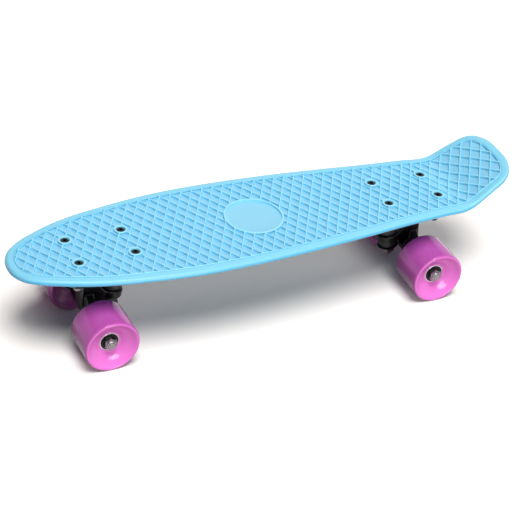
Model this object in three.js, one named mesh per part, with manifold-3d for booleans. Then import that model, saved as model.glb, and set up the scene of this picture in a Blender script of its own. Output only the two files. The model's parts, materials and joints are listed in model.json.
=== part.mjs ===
// A small plastic cruiser skateboard: a moulded deck with a kick tail, two cast trucks and four wheels.
// Millimetres, +Z up, +X towards the tail. The origin is on the ground, under the deck's middle.
import * as THREE from "three";
import { mergeVertices } from "three/addons/utils/BufferGeometryUtils.js";
import Module from "manifold-3d";

const wasm = await Module();
wasm.setup();

// Gaps
const SEAT_GAP = 0.3; // between two pieces that touch on the real board
const CUT_OVERRUN = 5; // how far a cutting shape runs past the face it cuts

// Wheels and bearings
const WHEEL_RADIUS = 30;
const WHEEL_WIDTH = 44.7;
const WHEEL_SIDES = 28;
const TREAD_LIP_RADIUS = 1.1;
const TREAD_LIP_WIDTH = 1.4;
const INNER_LIP_RADIUS = 2.2;
const INNER_LIP_WIDTH = 2.6;
const RIM_FLAT_WIDTH = 1.8;
const DISH_BEND_RADIUS = 17;
const DISH_BEND_RISE = 2.6; // how far the dish has risen from the bearing's face at its bend
const DISH_LIP_WIDTH = 1.6; // of the flat ring round the bearing's bore
const BEARING_RADIUS = 11;
const BEARING_WIDTH = 7;
const BEARING_SIDES = 14;
const BEARING_SPACING = 10.1; // between the inner faces of a wheel's two bearings
const BEARING_RING_WIDTH = 1.7; // of its outer ring's face
const BEARING_CORE_WIDTH = 1.9; // of its inner ring's face
const BEARING_SHIELD_DEPTH = 0.7;
const HUB_BORE_RADIUS = 8.6;

// Axles
const AXLE_RADIUS = 4;
const AXLE_LENGTH = 148;
const AXLE_SIDES = 16;
const AXLE_CHAMFER = 0.8;
const AXLE_END_LENGTH = 0.85; // past its nut
const SPEED_WASHER_RADIUS = 5.6;
const SPEED_WASHER_THICKNESS = 1;
const AXLE_NUT_WIDTH = 12.7; // across its flats
const AXLE_NUT_HEIGHT = 5.6;

// Deck
const DECK_LENGTH = 571.8;
const DECK_WIDTH = 151;
const DECK_EDGE_HEIGHT = 6.5;
const DECK_PLATE_THICKNESS = 4.6;
const MOUNT_THICKNESS = 21.7; // of the deck where a truck is bolted on
const KICK_RISE = 31.5;
const SHOULDER_RADIUS = 4; // of the rounded upper edge
const LOWER_EDGE_RADIUS = 2.3;
const BORDER_WIDTH = 9.2; // of the smooth band round the textured field
const FIELD_DEPTH = 0.7; // of the field's floor under the band
const RELIEF_RISE = 0.7; // of the field's border, the bolts' rings and the badge's ring above the band
const RELIEF_WIDTH = 2; // of the field's border
const RELIEF_WALL_WIDTH = 0.4;
const WAFFLE_ANGLE = THREE.MathUtils.degToRad(60); // of its ribs to the board's length
const WAFFLE_SPACING = 24.64; // along the board: every second rib of the real one
const WAFFLE_RIB_WIDTH = 1.5;
const WAFFLE_RISE = 0.5; // above the band
const WAFFLE_STEP = 0.1; // from the ribs at one angle down to the ribs that cross them
const WAFFLE_SHIFT = -7.42; // of the pattern, along the board
const UNDERSIDE_LIP_WIDTH = 7;
const UNDERSIDE_SLOPE_WIDTH = 3;
const OUTLINE_STEPS = 2; // between two outline points
const UNDERSIDE_RIB_WIDTH = 3;
const UNDERSIDE_RIB_DROP = 3; // below the edge's lower face
const LONG_RIB_SPACING = 24;
const CROSS_RIB_SPACING = 32;
const PAD_LENGTH = 94;
const PAD_WIDTH = 66;
const PAD_CORNER_RADIUS = 9;
const BADGE_RADIUS = 30.6;
const BADGE_RING_WIDTH = 1.8;
const BADGE_DEPTH = 1.9;
const BADGE_FROM_TRUCK_MIDDLE = 4.4; // towards the nose
const BADGE_SIDES = 32;
const BOSS_RADIUS = 7.4; // of the raised ring round a bolt
const BOSS_SIDES = 14;

// Bolts through the deck
const BOLT_SPACING_LONG = 61.5;
const BOLT_SPACING_ACROSS = 41.3;
const NOSE_TO_BOLTS = 99.8; // to the middle of the front bolt pattern
const TAIL_TO_BOLTS = 115; // to the middle of the rear one
const BOLT_RADIUS = 2.4;
const BOLT_SIDES = 12;
const BOLT_HEAD_RADIUS = 4.8;
const BOLT_HEAD_HEIGHT = 2.7;
const BOLT_HEAD_SINK = 0.35; // of the head under the boss round it
const BOLT_SOCKET_WIDTH = 3.2;
const BOLT_SOCKET_DEPTH = 1.8;
const BOLT_END_LENGTH = 1.2; // past its nut
const LOCK_NUT_WIDTH = 9.5;
const LOCK_NUT_HEIGHT = 5.2;

// Trucks, measured from the bolt pattern's middle and from the axle
const TRUCK_HEIGHT = 51; // from the axle to the baseplate's top
const AXLE_OUTBOARD = 11.8;
const STEERING_PIVOT_OUTBOARD = 22.5;
const STEERING_PIVOT_BELOW_TOP = 13;
const KINGPIN_INBOARD = 11; // at the axle's height
const KINGPIN_LEAN = THREE.MathUtils.degToRad(10);
const RING_ABOVE_AXLE = 14.5;

const BASEPLATE_LENGTH = 80;
const BASEPLATE_WIDTH = 56;
const BASEPLATE_THICKNESS = 6.5;
const BASEPLATE_CORNER_RADIUS = 8;
const BASEPLATE_RIB_WIDTH = 13;
const BASEPLATE_RIB_DEPTH = 5;
const KINGPIN_BOSS_RADIUS = 12.6;
const KINGPIN_BOSS_FLARE = 2.4;
const PIVOT_HOUSING_RADIUS = 11;
const PIVOT_BALL_RADIUS = 5.2;
const PIVOT_NECK_RADIUS = 4.6;
const PIVOT_CUP_WALL = 2.2;
const PIVOT_CUP_FLOOR = 1.5;
const PIVOT_CUP_LIP = 3.5; // how far the cup reaches past the ball's middle
const PIVOT_SIDES = 14;
const PIVOT_ARC_STEPS = 3; // in a quarter of the ball's round end

const KINGPIN_RADIUS = 4.75;
const KINGPIN_SIDES = 16;
const KINGPIN_HEAD_WIDTH = 14.3;
const KINGPIN_HEAD_HEIGHT = 5;
const KINGPIN_HEAD_BELOW_TOP = 4.3; // the head's middle under the baseplate's top
const KINGPIN_END_LENGTH = 1.6; // past its nut
const KINGPIN_NUT_WIDTH = 14.3;
const KINGPIN_NUT_HEIGHT = 8.2;

const RING_THICKNESS = 9;
const RING_RADIUS = 13;
const RING_BORE_RADIUS = 7;
const RING_SIDES = 24;
const BUSHING_SIDES = 20;
const BOARDSIDE_BUSHING_HEIGHT = 8;
const BOARDSIDE_BUSHING_RADIUS = 11;
const ROADSIDE_BUSHING_HEIGHT = 8.4;
const ROADSIDE_BUSHING_RADIUS = 10;
const BUSHING_BULGE = 0.8;
const CUP_WASHER_RADIUS = 11.6;
const CUP_WASHER_THICKNESS = 1.5;
const CUP_WASHER_SIDES = 20;

const HANGER_BOSS_RADIUS = 5.6; // of the small boss at each end
const HANGER_BOSS_LENGTH = 1.3;
const HANGER_BARREL_RADIUS = 9.4;
const HANGER_END_RADIUS = 7.2;
const HANGER_SIDES = 20;
const HANGER_WEB_WIDTH = 20;
const HANGER_WING_THICKNESS = 8;
const HANGER_WING_HEIGHT = 21; // above the axle, at the middle
const HANGER_WING_END_FROM_TIP = 7;
const HANGER_NECK_RADIUS = 6.4;
const HANGER_NECK_GAP = 2.2; // from the pivot cup to where the neck widens
const HANGER_NECK_LENGTH = 9;
const BUSHING_ROOM = 2.6; // round the boardside bushing, for the hanger to tilt

// Shares
// The outline from the nose to the tail: [share of the length, share of the half width].
const OUTLINE_SHARES = [
  [0, 0], [0.0093, 0.273], [0.0283, 0.428], [0.0777, 0.625], [0.1369, 0.783], [0.2244, 0.907],
  [0.3118, 0.983], [0.3993, 1], [0.53, 0.957], [0.6616, 0.865], [0.749, 0.791], [0.8365, 0.734],
  [0.895, 0.697], [0.9447, 0.648], [0.972, 0.598], [0.9897, 0.454], [1, 0],
];
// The deck's top along its middle: [share of the length, share of the kick's rise].
const CAMBER_SHARES = [
  [0, -0.105], [0.05, -0.048], [0.14, -0.006], [0.5, 0.02], [0.8365, -0.022], [0.88, -0.062],
  [0.902, 0.02], [0.925, 0.26], [0.95, 0.53], [0.975, 0.78], [1, 0.99],
];

// Heights and places that follow from the sizes above
const AXLE_HEIGHT = WHEEL_RADIUS * Math.cos(Math.PI / WHEEL_SIDES); // the wheel stands on a facet
const BASEPLATE_TOP = AXLE_HEIGHT + TRUCK_HEIGHT;
const BASEPLATE_BOTTOM = BASEPLATE_TOP - BASEPLATE_THICKNESS;
const PAD_BOTTOM = BASEPLATE_TOP + SEAT_GAP;
const DECK_TOP = PAD_BOTTOM + MOUNT_THICKNESS;
const NOSE_X = -DECK_LENGTH / 2;
const TAIL_X = NOSE_X + DECK_LENGTH;
const FRONT_TRUCK_X = NOSE_X + NOSE_TO_BOLTS;
const REAR_TRUCK_X = TAIL_X - TAIL_TO_BOLTS;
const BADGE_X = (FRONT_TRUCK_X + REAR_TRUCK_X) / 2 - BADGE_FROM_TRUCK_MIDDLE;
const HUB_FACE = BEARING_SPACING / 2 + BEARING_WIDTH; // a bearing's outer face from the wheel's middle
const AXLE_END_STACK = AXLE_END_LENGTH + AXLE_NUT_HEIGHT + SEAT_GAP + SPEED_WASHER_THICKNESS + SEAT_GAP;
const WHEEL_MIDDLE = AXLE_LENGTH / 2 - AXLE_END_STACK - HUB_FACE; // from the board's middle
const HANGER_BOSS_END = WHEEL_MIDDLE - HUB_FACE - SEAT_GAP;
const HANGER_END = HANGER_BOSS_END - HANGER_BOSS_LENGTH;
const RING_HEIGHT = AXLE_HEIGHT + RING_ABOVE_AXLE;
const RING_X = KINGPIN_INBOARD + RING_ABOVE_AXLE * Math.tan(KINGPIN_LEAN);
const PIVOT_HEIGHT = BASEPLATE_TOP - STEERING_PIVOT_BELOW_TOP;
const STEERING_SLOPE = Math.atan2(PIVOT_HEIGHT - RING_HEIGHT, RING_X + STEERING_PIVOT_OUTBOARD);
const KINGPIN_HEAD_ABOVE_RING =
  (BASEPLATE_TOP - KINGPIN_HEAD_BELOW_TOP - RING_HEIGHT) / Math.cos(KINGPIN_LEAN) - KINGPIN_HEAD_HEIGHT / 2;
const BOARDSIDE_WASHER_LEVEL = RING_THICKNESS / 2 + SEAT_GAP + BOARDSIDE_BUSHING_HEIGHT + SEAT_GAP;
const KINGPIN_BOSS_LEVEL = BOARDSIDE_WASHER_LEVEL + CUP_WASHER_THICKNESS + SEAT_GAP;
const ROADSIDE_WASHER_LEVEL =
  -RING_THICKNESS / 2 - SEAT_GAP - ROADSIDE_BUSHING_HEIGHT - SEAT_GAP - CUP_WASHER_THICKNESS;
const KINGPIN_NUT_LEVEL = ROADSIDE_WASHER_LEVEL - SEAT_GAP - KINGPIN_NUT_HEIGHT;
const PIVOT_CUP_RADIUS = PIVOT_BALL_RADIUS + SEAT_GAP + PIVOT_CUP_WALL;
const PIVOT_CUP_END = PIVOT_BALL_RADIUS + SEAT_GAP + PIVOT_CUP_FLOOR;
const HANGER_NECK_START = PIVOT_CUP_LIP + HANGER_NECK_GAP; // along the steering axis, from the pivot
const HANGER_NECK_END = HANGER_NECK_START + HANGER_NECK_LENGTH;

// Materials
const finish = (color, roughness, metalness = 0) =>
  new THREE.MeshStandardMaterial({ color, roughness, metalness });
const deckPlastic = finish(0x9fdcf8, 0.4);
const wheelUrethane = finish(0xe879cf, 0.35);
const blackPaint = finish(0x17171a, 0.25, 0.3);
const steel = finish(0xc4c6ca, 0.25, 1);
const blackSteel = finish(0x26262b, 0.35, 0.8);
const bearingSteel = finish(0x8f9094, 0.3, 0.9);
const blackUrethane = finish(0x1d1d20, 0.6);
const cupPlastic = finish(0x2a2a2e, 0.7);

// Joining and cutting
function solidOf(geometry) {
  const bare = geometry.clone();
  bare.deleteAttribute("normal");
  bare.deleteAttribute("uv");
  const merged = mergeVertices(bare);
  return new wasm.Manifold(
    new wasm.Mesh({
      numProp: 3,
      vertProperties: new Float32Array(merged.attributes.position.array),
      triVerts: new Uint32Array(merged.index.array),
    }),
  );
}

function geometryOf(solid) {
  const mesh = solid.getMesh();
  const geometry = new THREE.BufferGeometry();
  geometry.setAttribute("position", new THREE.BufferAttribute(new Float32Array(mesh.vertProperties), 3));
  geometry.setIndex(new THREE.BufferAttribute(new Uint32Array(mesh.triVerts), 1));
  geometry.computeVertexNormals();
  return geometry;
}

function joined(...geometries) {
  return geometryOf(geometries.map(solidOf).reduce((sum, next) => sum.add(next)));
}

function shared(geometry, other) {
  return geometryOf(solidOf(geometry).intersect(solidOf(other)));
}

function cut(geometry, ...cutters) {
  return geometryOf(cutters.map(solidOf).reduce((rest, next) => rest.subtract(next), solidOf(geometry)));
}

// Basic shapes
// A profile of [radius, height] points, turned about Z. It starts and ends on the axis, or closes on itself.
function turned(profile, sides, start = 0) {
  const points = profile.map(([radius, height]) => new THREE.Vector2(radius, height));
  return new THREE.LatheGeometry(points, sides, start).rotateX(Math.PI / 2);
}

function rod(radius, bottom, top, sides) {
  return turned([[0, bottom], [radius, bottom], [radius, top], [0, top]], sides);
}

function tube(innerRadius, outerRadius, bottom, top, sides) {
  const inner = [innerRadius, bottom];
  return turned([inner, [outerRadius, bottom], [outerRadius, top], [innerRadius, top], inner], sides);
}

function hexPrism(acrossFlats, bottom, top) {
  const radius = acrossFlats / 2 / Math.cos(Math.PI / 6);
  const height = top - bottom;
  const prism = new THREE.CylinderGeometry(radius, radius, height, 6).rotateX(Math.PI / 2);
  return prism.translate(0, 0, bottom + height / 2);
}

function nutWithBore(acrossFlats, boreRadius, bottom, top) {
  const bore = rod(boreRadius, bottom - CUT_OVERRUN, top + CUT_OVERRUN, BOLT_SIDES);
  return cut(hexPrism(acrossFlats, bottom, top), bore);
}

function block(length, width, bottom, top) {
  return new THREE.BoxGeometry(length, width, top - bottom).translate(0, 0, (bottom + top) / 2);
}

function roundedPlate(length, width, cornerRadius, bottom, top) {
  const x = length / 2 - cornerRadius;
  const y = width / 2 - cornerRadius;
  const shape = new THREE.Shape();
  shape.absarc(x, y, cornerRadius, 0, Math.PI / 2);
  shape.absarc(-x, y, cornerRadius, Math.PI / 2, Math.PI);
  shape.absarc(-x, -y, cornerRadius, Math.PI, 1.5 * Math.PI);
  shape.absarc(x, -y, cornerRadius, 1.5 * Math.PI, 2 * Math.PI);
  const options = { depth: top - bottom, bevelEnabled: false, curveSegments: 4 };
  return new THREE.ExtrudeGeometry(shape, options).translate(0, 0, bottom);
}

// A side view of [x, z] points, thickened across the board.
function sidePlate(points, width) {
  const shape = new THREE.Shape(points.map(([x, z]) => new THREE.Vector2(x, z)));
  const geometry = new THREE.ExtrudeGeometry(shape, { depth: width, bevelEnabled: false });
  return geometry.rotateX(Math.PI / 2).translate(0, width / 2, 0);
}

// A front view of [y, z] points, thickened along the board.
function frontPlate(points, thickness) {
  const shape = new THREE.Shape(points.map(([y, z]) => new THREE.Vector2(y, z)));
  const geometry = new THREE.ExtrudeGeometry(shape, { depth: thickness, bevelEnabled: false });
  return geometry.rotateX(Math.PI / 2).rotateZ(Math.PI / 2).translate(-thickness / 2, 0, 0);
}

// The kingpin's axis leans, with the ring's middle as its zero.
function onKingpin(geometry) {
  return geometry.clone().rotateY(KINGPIN_LEAN).translate(RING_X, 0, RING_HEIGHT);
}

// The steering axis runs from the pivot to the ring.
function onSteeringAxis(geometry) {
  const tilt = Math.PI / 2 + STEERING_SLOPE;
  return geometry.clone().rotateY(tilt).translate(-STEERING_PIVOT_OUTBOARD, 0, PIVOT_HEIGHT);
}

function acrossBoard(geometry) {
  return geometry.clone().rotateX(-Math.PI / 2).translate(-AXLE_OUTBOARD, 0, AXLE_HEIGHT);
}

// Deck
// A smooth curve through [x, y] points, read as a height over x.
function heightAlong(points, x) {
  const before = points.slice(1, -1).filter((point) => point[0] < x).length;
  const slope = (i) => {
    const from = points[i - 1] ?? points[i];
    const to = points[i + 1] ?? points[i];
    return (to[1] - from[1]) / (to[0] - from[0]);
  };
  const [x0, y0] = points[before];
  const [x1, y1] = points[before + 1];
  const span = x1 - x0;
  const t = (x - x0) / span;
  const bend = t * (1 - t) * span * ((1 - t) * slope(before) - t * slope(before + 1));
  return y0 + (y1 - y0) * t * t * (3 - 2 * t) + bend;
}

const outline = OUTLINE_SHARES.map(([along, across]) => [
  NOSE_X + along * DECK_LENGTH,
  (across * DECK_WIDTH) / 2,
]);
const halfWidthAt = (x) => heightAlong(outline, x);
const camber = CAMBER_SHARES.map(([along, up]) => [
  NOSE_X + along * DECK_LENGTH,
  DECK_TOP + up * KICK_RISE,
]);
const deckTopAt = (x) => heightAlong(camber, x);

// The outline's points on the +Y side, from the nose to the tail, each with its outward direction.
function outlineHalf() {
  const side = outline.map(([x, y]) => new THREE.Vector3(x, y, 0));
  const other = side.slice(1, -1).reverse().map((point) => new THREE.Vector3(point.x, -point.y, 0));
  const curve = new THREE.CatmullRomCurve3([...side, ...other], true, "centripetal");
  const steps = (side.length - 1) * OUTLINE_STEPS;
  const allSteps = (side.length + other.length) * OUTLINE_STEPS;
  return Array.from({ length: steps + 1 }, (_, i) => {
    const point = curve.getPoint(i / allSteps);
    const along = curve.getTangent(i / allSteps);
    return { point, outward: new THREE.Vector3(-along.y, along.x, 0) };
  });
}

// The same points moved inwards, on one side and all round.
function outlineInside(inwards) {
  return outlineHalf().map(({ point, outward }) => {
    const moved = point.clone().addScaledVector(outward, -inwards);
    return [moved.x, moved.y];
  });
}

function loopInside(inwards) {
  const side = outlineInside(inwards);
  const other = side.slice(1, -1).reverse().map(([x, y]) => [x, -y]);
  return [...side, ...other];
}

const BORDER_RIB_START = BORDER_WIDTH + RELIEF_WALL_WIDTH;
const BORDER_RIB_END = BORDER_RIB_START + RELIEF_WIDTH;

// The rim's section: [distance in from the outline, distance below the top], from the field out and under.
function rimSection() {
  const arc = (steps, make) =>
    Array.from({ length: steps + 1 }, (_, i) => make(((i / steps) * Math.PI) / 2));
  const shoulder = arc(3, (a) => [SHOULDER_RADIUS * (1 - Math.sin(a)), SHOULDER_RADIUS * (1 - Math.cos(a))]);
  const lower = arc(2, (a) => [
    LOWER_EDGE_RADIUS * (1 - Math.cos(a)),
    DECK_EDGE_HEIGHT - LOWER_EDGE_RADIUS * (1 - Math.sin(a)),
  ]);
  return [
    [BORDER_RIB_END + RELIEF_WALL_WIDTH, FIELD_DEPTH],
    [BORDER_RIB_END, -RELIEF_RISE],
    [BORDER_RIB_START, -RELIEF_RISE],
    [BORDER_WIDTH, 0],
    ...shoulder,
    ...lower,
    [UNDERSIDE_LIP_WIDTH, DECK_EDGE_HEIGHT],
    [UNDERSIDE_LIP_WIDTH + UNDERSIDE_SLOPE_WIDTH, DECK_PLATE_THICKNESS],
  ];
}

// Each ring of the rim's section goes round the board. Points at one x are joined across it.
function deckShell() {
  const section = rimSection();
  const rings = section.map(([inwards, below]) =>
    loopInside(inwards).map(([x, y]) => [x, y, deckTopAt(x) - below]),
  );
  const loopLength = rings[0].length;
  const positions = rings.flat(2);
  const geometry = new THREE.BufferGeometry();
  geometry.setAttribute("position", new THREE.Float32BufferAttribute(positions, 3));
  geometry.setIndex([...ringFaces(section.length, loopLength), ...capFaces(section.length, loopLength)]);
  return geometry;
}

function ringFaces(rings, loopLength) {
  const faces = [];
  for (let ring = 0; ring < rings - 1; ring += 1) {
    for (let i = 0; i < loopLength; i += 1) {
      const a = ring * loopLength + i;
      const b = ring * loopLength + ((i + 1) % loopLength);
      faces.push(a, b, b + loopLength, a, b + loopLength, a + loopLength);
    }
  }
  return faces;
}

function capFaces(rings, loopLength) {
  const faces = [];
  const bottom = (rings - 1) * loopLength;
  for (let i = 0; i < loopLength / 2; i += 1) {
    const j = i + 1;
    const across = (k) => (loopLength - k) % loopLength;
    faces.push(i, across(i), across(j), i, across(j), j);
    faces.push(bottom + i, bottom + across(j), bottom + across(i));
    faces.push(bottom + i, bottom + j, bottom + across(j));
  }
  return faces.filter((_, i) => isWholeTriangle(faces, i));
}

function isWholeTriangle(faces, i) {
  const first = i - (i % 3);
  return new Set(faces.slice(first, first + 3)).size === 3;
}

function boltPlaces() {
  const places = [];
  for (const along of [-1, 1]) {
    for (const across of [-1, 1]) {
      places.push([(along * BOLT_SPACING_LONG) / 2, (across * BOLT_SPACING_ACROSS) / 2]);
    }
  }
  return places;
}

// A screw's place on the deck, with the height of the ring that it sits in.
function deckBoltPlaces() {
  return [FRONT_TRUCK_X, REAR_TRUCK_X].flatMap((centre) =>
    boltPlaces().map(([x, y]) => ({ x: centre + x, y, top: deckTopAt(centre + x) + RELIEF_RISE })),
  );
}

function screwHole({ x, y, top }) {
  const radius = BOLT_RADIUS + SEAT_GAP;
  const head = BOLT_HEAD_RADIUS + SEAT_GAP;
  const headBottom = top - BOLT_HEAD_SINK - BOLT_HEAD_HEIGHT;
  const profile = [
    [0, PAD_BOTTOM - CUT_OVERRUN],
    [radius, PAD_BOTTOM - CUT_OVERRUN],
    [radius, headBottom],
    [head, top - BOLT_HEAD_SINK],
    [head, top + CUT_OVERRUN],
    [0, top + CUT_OVERRUN],
  ];
  return turned(profile, BOLT_SIDES).translate(x, y, 0);
}

// Halfway through the plate under the field, where the pieces on its two sides end inside it.
const PLATE_MIDDLE_DEPTH = (DECK_PLATE_THICKNESS + FIELD_DEPTH) / 2;
const plateMiddleAt = (x) => deckTopAt(x) - PLATE_MIDDLE_DEPTH;

// The places along the board of the floor's edge points, from one that lies past each end of a stretch.
function floorColumns(from, to) {
  const edge = outlineInside(BORDER_RIB_END + RELIEF_WALL_WIDTH).map(([x]) => x);
  return edge.filter((_, i) => (edge[i + 1] ?? to) > from && (edge[i - 1] ?? from) < to);
}

// A straight bar on the field. Its corners are in line with the floor's, so that it follows the floor.
function waffleRib(start, angle, rise) {
  const run = DECK_WIDTH / 2 / Math.tan(WAFFLE_ANGLE);
  const columns = floorColumns(start - run, start + run);
  const steps = columns.length - 1;
  const height = PLATE_MIDDLE_DEPTH + WAFFLE_RISE;
  const rib = new THREE.BoxGeometry(steps, WAFFLE_RIB_WIDTH / Math.cos(angle), height, steps);
  const corners = rib.attributes.position;
  for (let i = 0; i < corners.count; i += 1) {
    const x = columns[Math.round(corners.getX(i) + steps / 2)];
    const y = corners.getY(i) + (x - start) * Math.tan(angle);
    corners.setXYZ(i, x, y, corners.getZ(i) + deckTopAt(x) + rise - height / 2);
  }
  return rib;
}

// The ribs cross on the field and end under its border.
function waffle() {
  const ribs = spread(DECK_LENGTH, WAFFLE_SPACING).flatMap((x) => [
    waffleRib(x + WAFFLE_SHIFT, WAFFLE_ANGLE, WAFFLE_RISE),
    waffleRib(x + WAFFLE_SHIFT, -WAFFLE_ANGLE, WAFFLE_RISE - WAFFLE_STEP),
  ]);
  const border = loopInside((BORDER_RIB_START + BORDER_RIB_END) / 2);
  const shape = new THREE.Shape(border.map(([x, y]) => new THREE.Vector2(x, y)));
  const options = { depth: DECK_TOP + KICK_RISE, bevelEnabled: false };
  return shared(joined(...ribs), new THREE.ExtrudeGeometry(shape, options));
}

// The ribs under the plate, along and across the board, between the two pads.
function undersideRibs() {
  const start = FRONT_TRUCK_X + PAD_LENGTH / 2;
  const end = REAR_TRUCK_X - PAD_LENGTH / 2;
  const middle = (start + end) / 2;
  const bottomAt = (x) => deckTopAt(x) - DECK_EDGE_HEIGHT - UNDERSIDE_RIB_DROP;
  const roomAt = (x) => halfWidthAt(x) - UNDERSIDE_LIP_WIDTH - UNDERSIDE_SLOPE_WIDTH;
  const longRibs = spread(2 * roomAt(end), LONG_RIB_SPACING).map((y) =>
    block(end - start, UNDERSIDE_RIB_WIDTH, bottomAt(middle), plateMiddleAt(middle)).translate(middle, y, 0),
  );
  const crossRibs = spread(end - start, CROSS_RIB_SPACING).map((along) => {
    const x = middle + along;
    return block(UNDERSIDE_RIB_WIDTH, 2 * roomAt(x), bottomAt(x), plateMiddleAt(x)).translate(x, 0, 0);
  });
  return [...longRibs, ...crossRibs];
}

// As many places as fit in a width at one spacing, about zero.
function spread(width, spacing) {
  const count = Math.floor(width / spacing) + 1;
  return Array.from({ length: count }, (_, i) => (i - (count - 1) / 2) * spacing);
}

function deckGeometry() {
  const pads = [FRONT_TRUCK_X, REAR_TRUCK_X].map((centre) => {
    const pad = roundedPlate(PAD_LENGTH, PAD_WIDTH, PAD_CORNER_RADIUS, PAD_BOTTOM, plateMiddleAt(centre));
    return pad.translate(centre, 0, 0);
  });
  const bosses = deckBoltPlaces().map(({ x, y, top }) =>
    rod(BOSS_RADIUS, plateMiddleAt(x), top, BOSS_SIDES).translate(x, y, 0),
  );
  const badgeTop = deckTopAt(BADGE_X) + RELIEF_RISE;
  const ringOuter = BADGE_RADIUS + BADGE_RING_WIDTH;
  const badgeRing = rod(ringOuter, plateMiddleAt(BADGE_X), badgeTop, BADGE_SIDES).translate(BADGE_X, 0, 0);
  const badgeFloor = rod(BADGE_RADIUS, badgeTop - BADGE_DEPTH, badgeTop + CUT_OVERRUN, BADGE_SIDES);
  const whole = joined(deckShell(), waffle(), ...pads, ...undersideRibs(), ...bosses, badgeRing);
  return cut(whole, badgeFloor.translate(BADGE_X, 0, 0), ...deckBoltPlaces().map(screwHole));
}

// Bolts that hold the trucks. Their nuts sit under the baseplate.
const LOCK_NUT_TOP = BASEPLATE_BOTTOM - SEAT_GAP;
const BOLT_END = LOCK_NUT_TOP - LOCK_NUT_HEIGHT - BOLT_END_LENGTH;

function deckBoltGeometry(top) {
  const headTop = top - BOLT_HEAD_SINK;
  const profile = [
    [0, BOLT_END],
    [BOLT_RADIUS, BOLT_END],
    [BOLT_RADIUS, headTop - BOLT_HEAD_HEIGHT],
    [BOLT_HEAD_RADIUS, headTop],
    [0, headTop],
  ];
  const socket = hexPrism(BOLT_SOCKET_WIDTH, headTop - BOLT_SOCKET_DEPTH, headTop + CUT_OVERRUN);
  return cut(turned(profile, BOLT_SIDES), socket);
}

function lockNutGeometry() {
  return nutWithBore(LOCK_NUT_WIDTH, BOLT_RADIUS + SEAT_GAP, LOCK_NUT_TOP - LOCK_NUT_HEIGHT, LOCK_NUT_TOP);
}

// Truck pieces, in the truck's own frame: +X towards the middle of the board, Z from the ground
function baseplateGeometry() {
  const flange = roundedPlate(
    BASEPLATE_LENGTH, BASEPLATE_WIDTH, BASEPLATE_CORNER_RADIUS, BASEPLATE_BOTTOM, BASEPLATE_TOP,
  );
  const boss = onKingpin(
    turned(
      [
        [0, KINGPIN_BOSS_LEVEL],
        [KINGPIN_BOSS_RADIUS, KINGPIN_BOSS_LEVEL],
        [KINGPIN_BOSS_RADIUS + KINGPIN_BOSS_FLARE, KINGPIN_HEAD_ABOVE_RING],
        [KINGPIN_BOSS_RADIUS + KINGPIN_BOSS_FLARE, KINGPIN_HEAD_ABOVE_RING + KINGPIN_HEAD_HEIGHT],
        [0, KINGPIN_HEAD_ABOVE_RING + KINGPIN_HEAD_HEIGHT],
      ],
      RING_SIDES,
    ),
  );
  const housingEnd = -(PIVOT_CUP_END + PIVOT_CUP_WALL);
  const housingFace = PIVOT_CUP_LIP - SEAT_GAP;
  const housing = onSteeringAxis(rod(PIVOT_HOUSING_RADIUS, housingEnd, housingFace, RING_SIDES));
  const ribBottom = BASEPLATE_BOTTOM - BASEPLATE_RIB_DEPTH;
  const rib = sidePlate(
    [
      [-STEERING_PIVOT_OUTBOARD, ribBottom],
      [RING_X, ribBottom],
      [RING_X, BASEPLATE_TOP - BASEPLATE_THICKNESS / 2],
      [-STEERING_PIVOT_OUTBOARD, BASEPLATE_TOP - BASEPLATE_THICKNESS / 2],
    ],
    BASEPLATE_RIB_WIDTH,
  );
  return cut(joined(flange, boss, housing, rib), ...baseplateCutters());
}

function baseplateCutters() {
  const above = rod(BASEPLATE_LENGTH, BASEPLATE_TOP, BASEPLATE_TOP + PIVOT_HOUSING_RADIUS, BOLT_SIDES);
  const hole = rod(
    BOLT_RADIUS + SEAT_GAP, BASEPLATE_BOTTOM - CUT_OVERRUN, BASEPLATE_TOP + CUT_OVERRUN, BOLT_SIDES,
  );
  const holes = boltPlaces().map(([x, y]) => hole.clone().translate(x, y, 0));
  const headRadius = KINGPIN_HEAD_WIDTH / 2 / Math.cos(Math.PI / 6) + SEAT_GAP;
  const seat = KINGPIN_HEAD_ABOVE_RING - SEAT_GAP;
  const kingpinHole = onKingpin(
    turned(
      [
        [0, RING_THICKNESS / 2],
        [KINGPIN_RADIUS + SEAT_GAP, RING_THICKNESS / 2],
        [KINGPIN_RADIUS + SEAT_GAP, seat],
        [headRadius, seat],
        [headRadius, seat + KINGPIN_HEAD_HEIGHT + CUT_OVERRUN],
        [0, seat + KINGPIN_HEAD_HEIGHT + CUT_OVERRUN],
      ],
      KINGPIN_SIDES,
    ),
  );
  const cupHole = onSteeringAxis(
    rod(PIVOT_CUP_RADIUS + SEAT_GAP, -PIVOT_CUP_END - SEAT_GAP, PIVOT_CUP_LIP + CUT_OVERRUN, PIVOT_SIDES),
  );
  return [above, ...holes, kingpinHole, cupHole];
}

function pivotCupGeometry() {
  const innerRadius = PIVOT_BALL_RADIUS + SEAT_GAP;
  const hollow = Array.from({ length: PIVOT_ARC_STEPS + 1 }, (_, i) => {
    const angle = ((i / PIVOT_ARC_STEPS) * Math.PI) / 2;
    return [innerRadius * Math.cos(angle), -innerRadius * Math.sin(angle)];
  });
  const profile = [
    [0, -PIVOT_CUP_END],
    [PIVOT_CUP_RADIUS, -PIVOT_CUP_END],
    [PIVOT_CUP_RADIUS, PIVOT_CUP_LIP],
    [innerRadius, PIVOT_CUP_LIP],
    ...hollow,
  ];
  return onSteeringAxis(turned(profile, PIVOT_SIDES));
}

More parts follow.
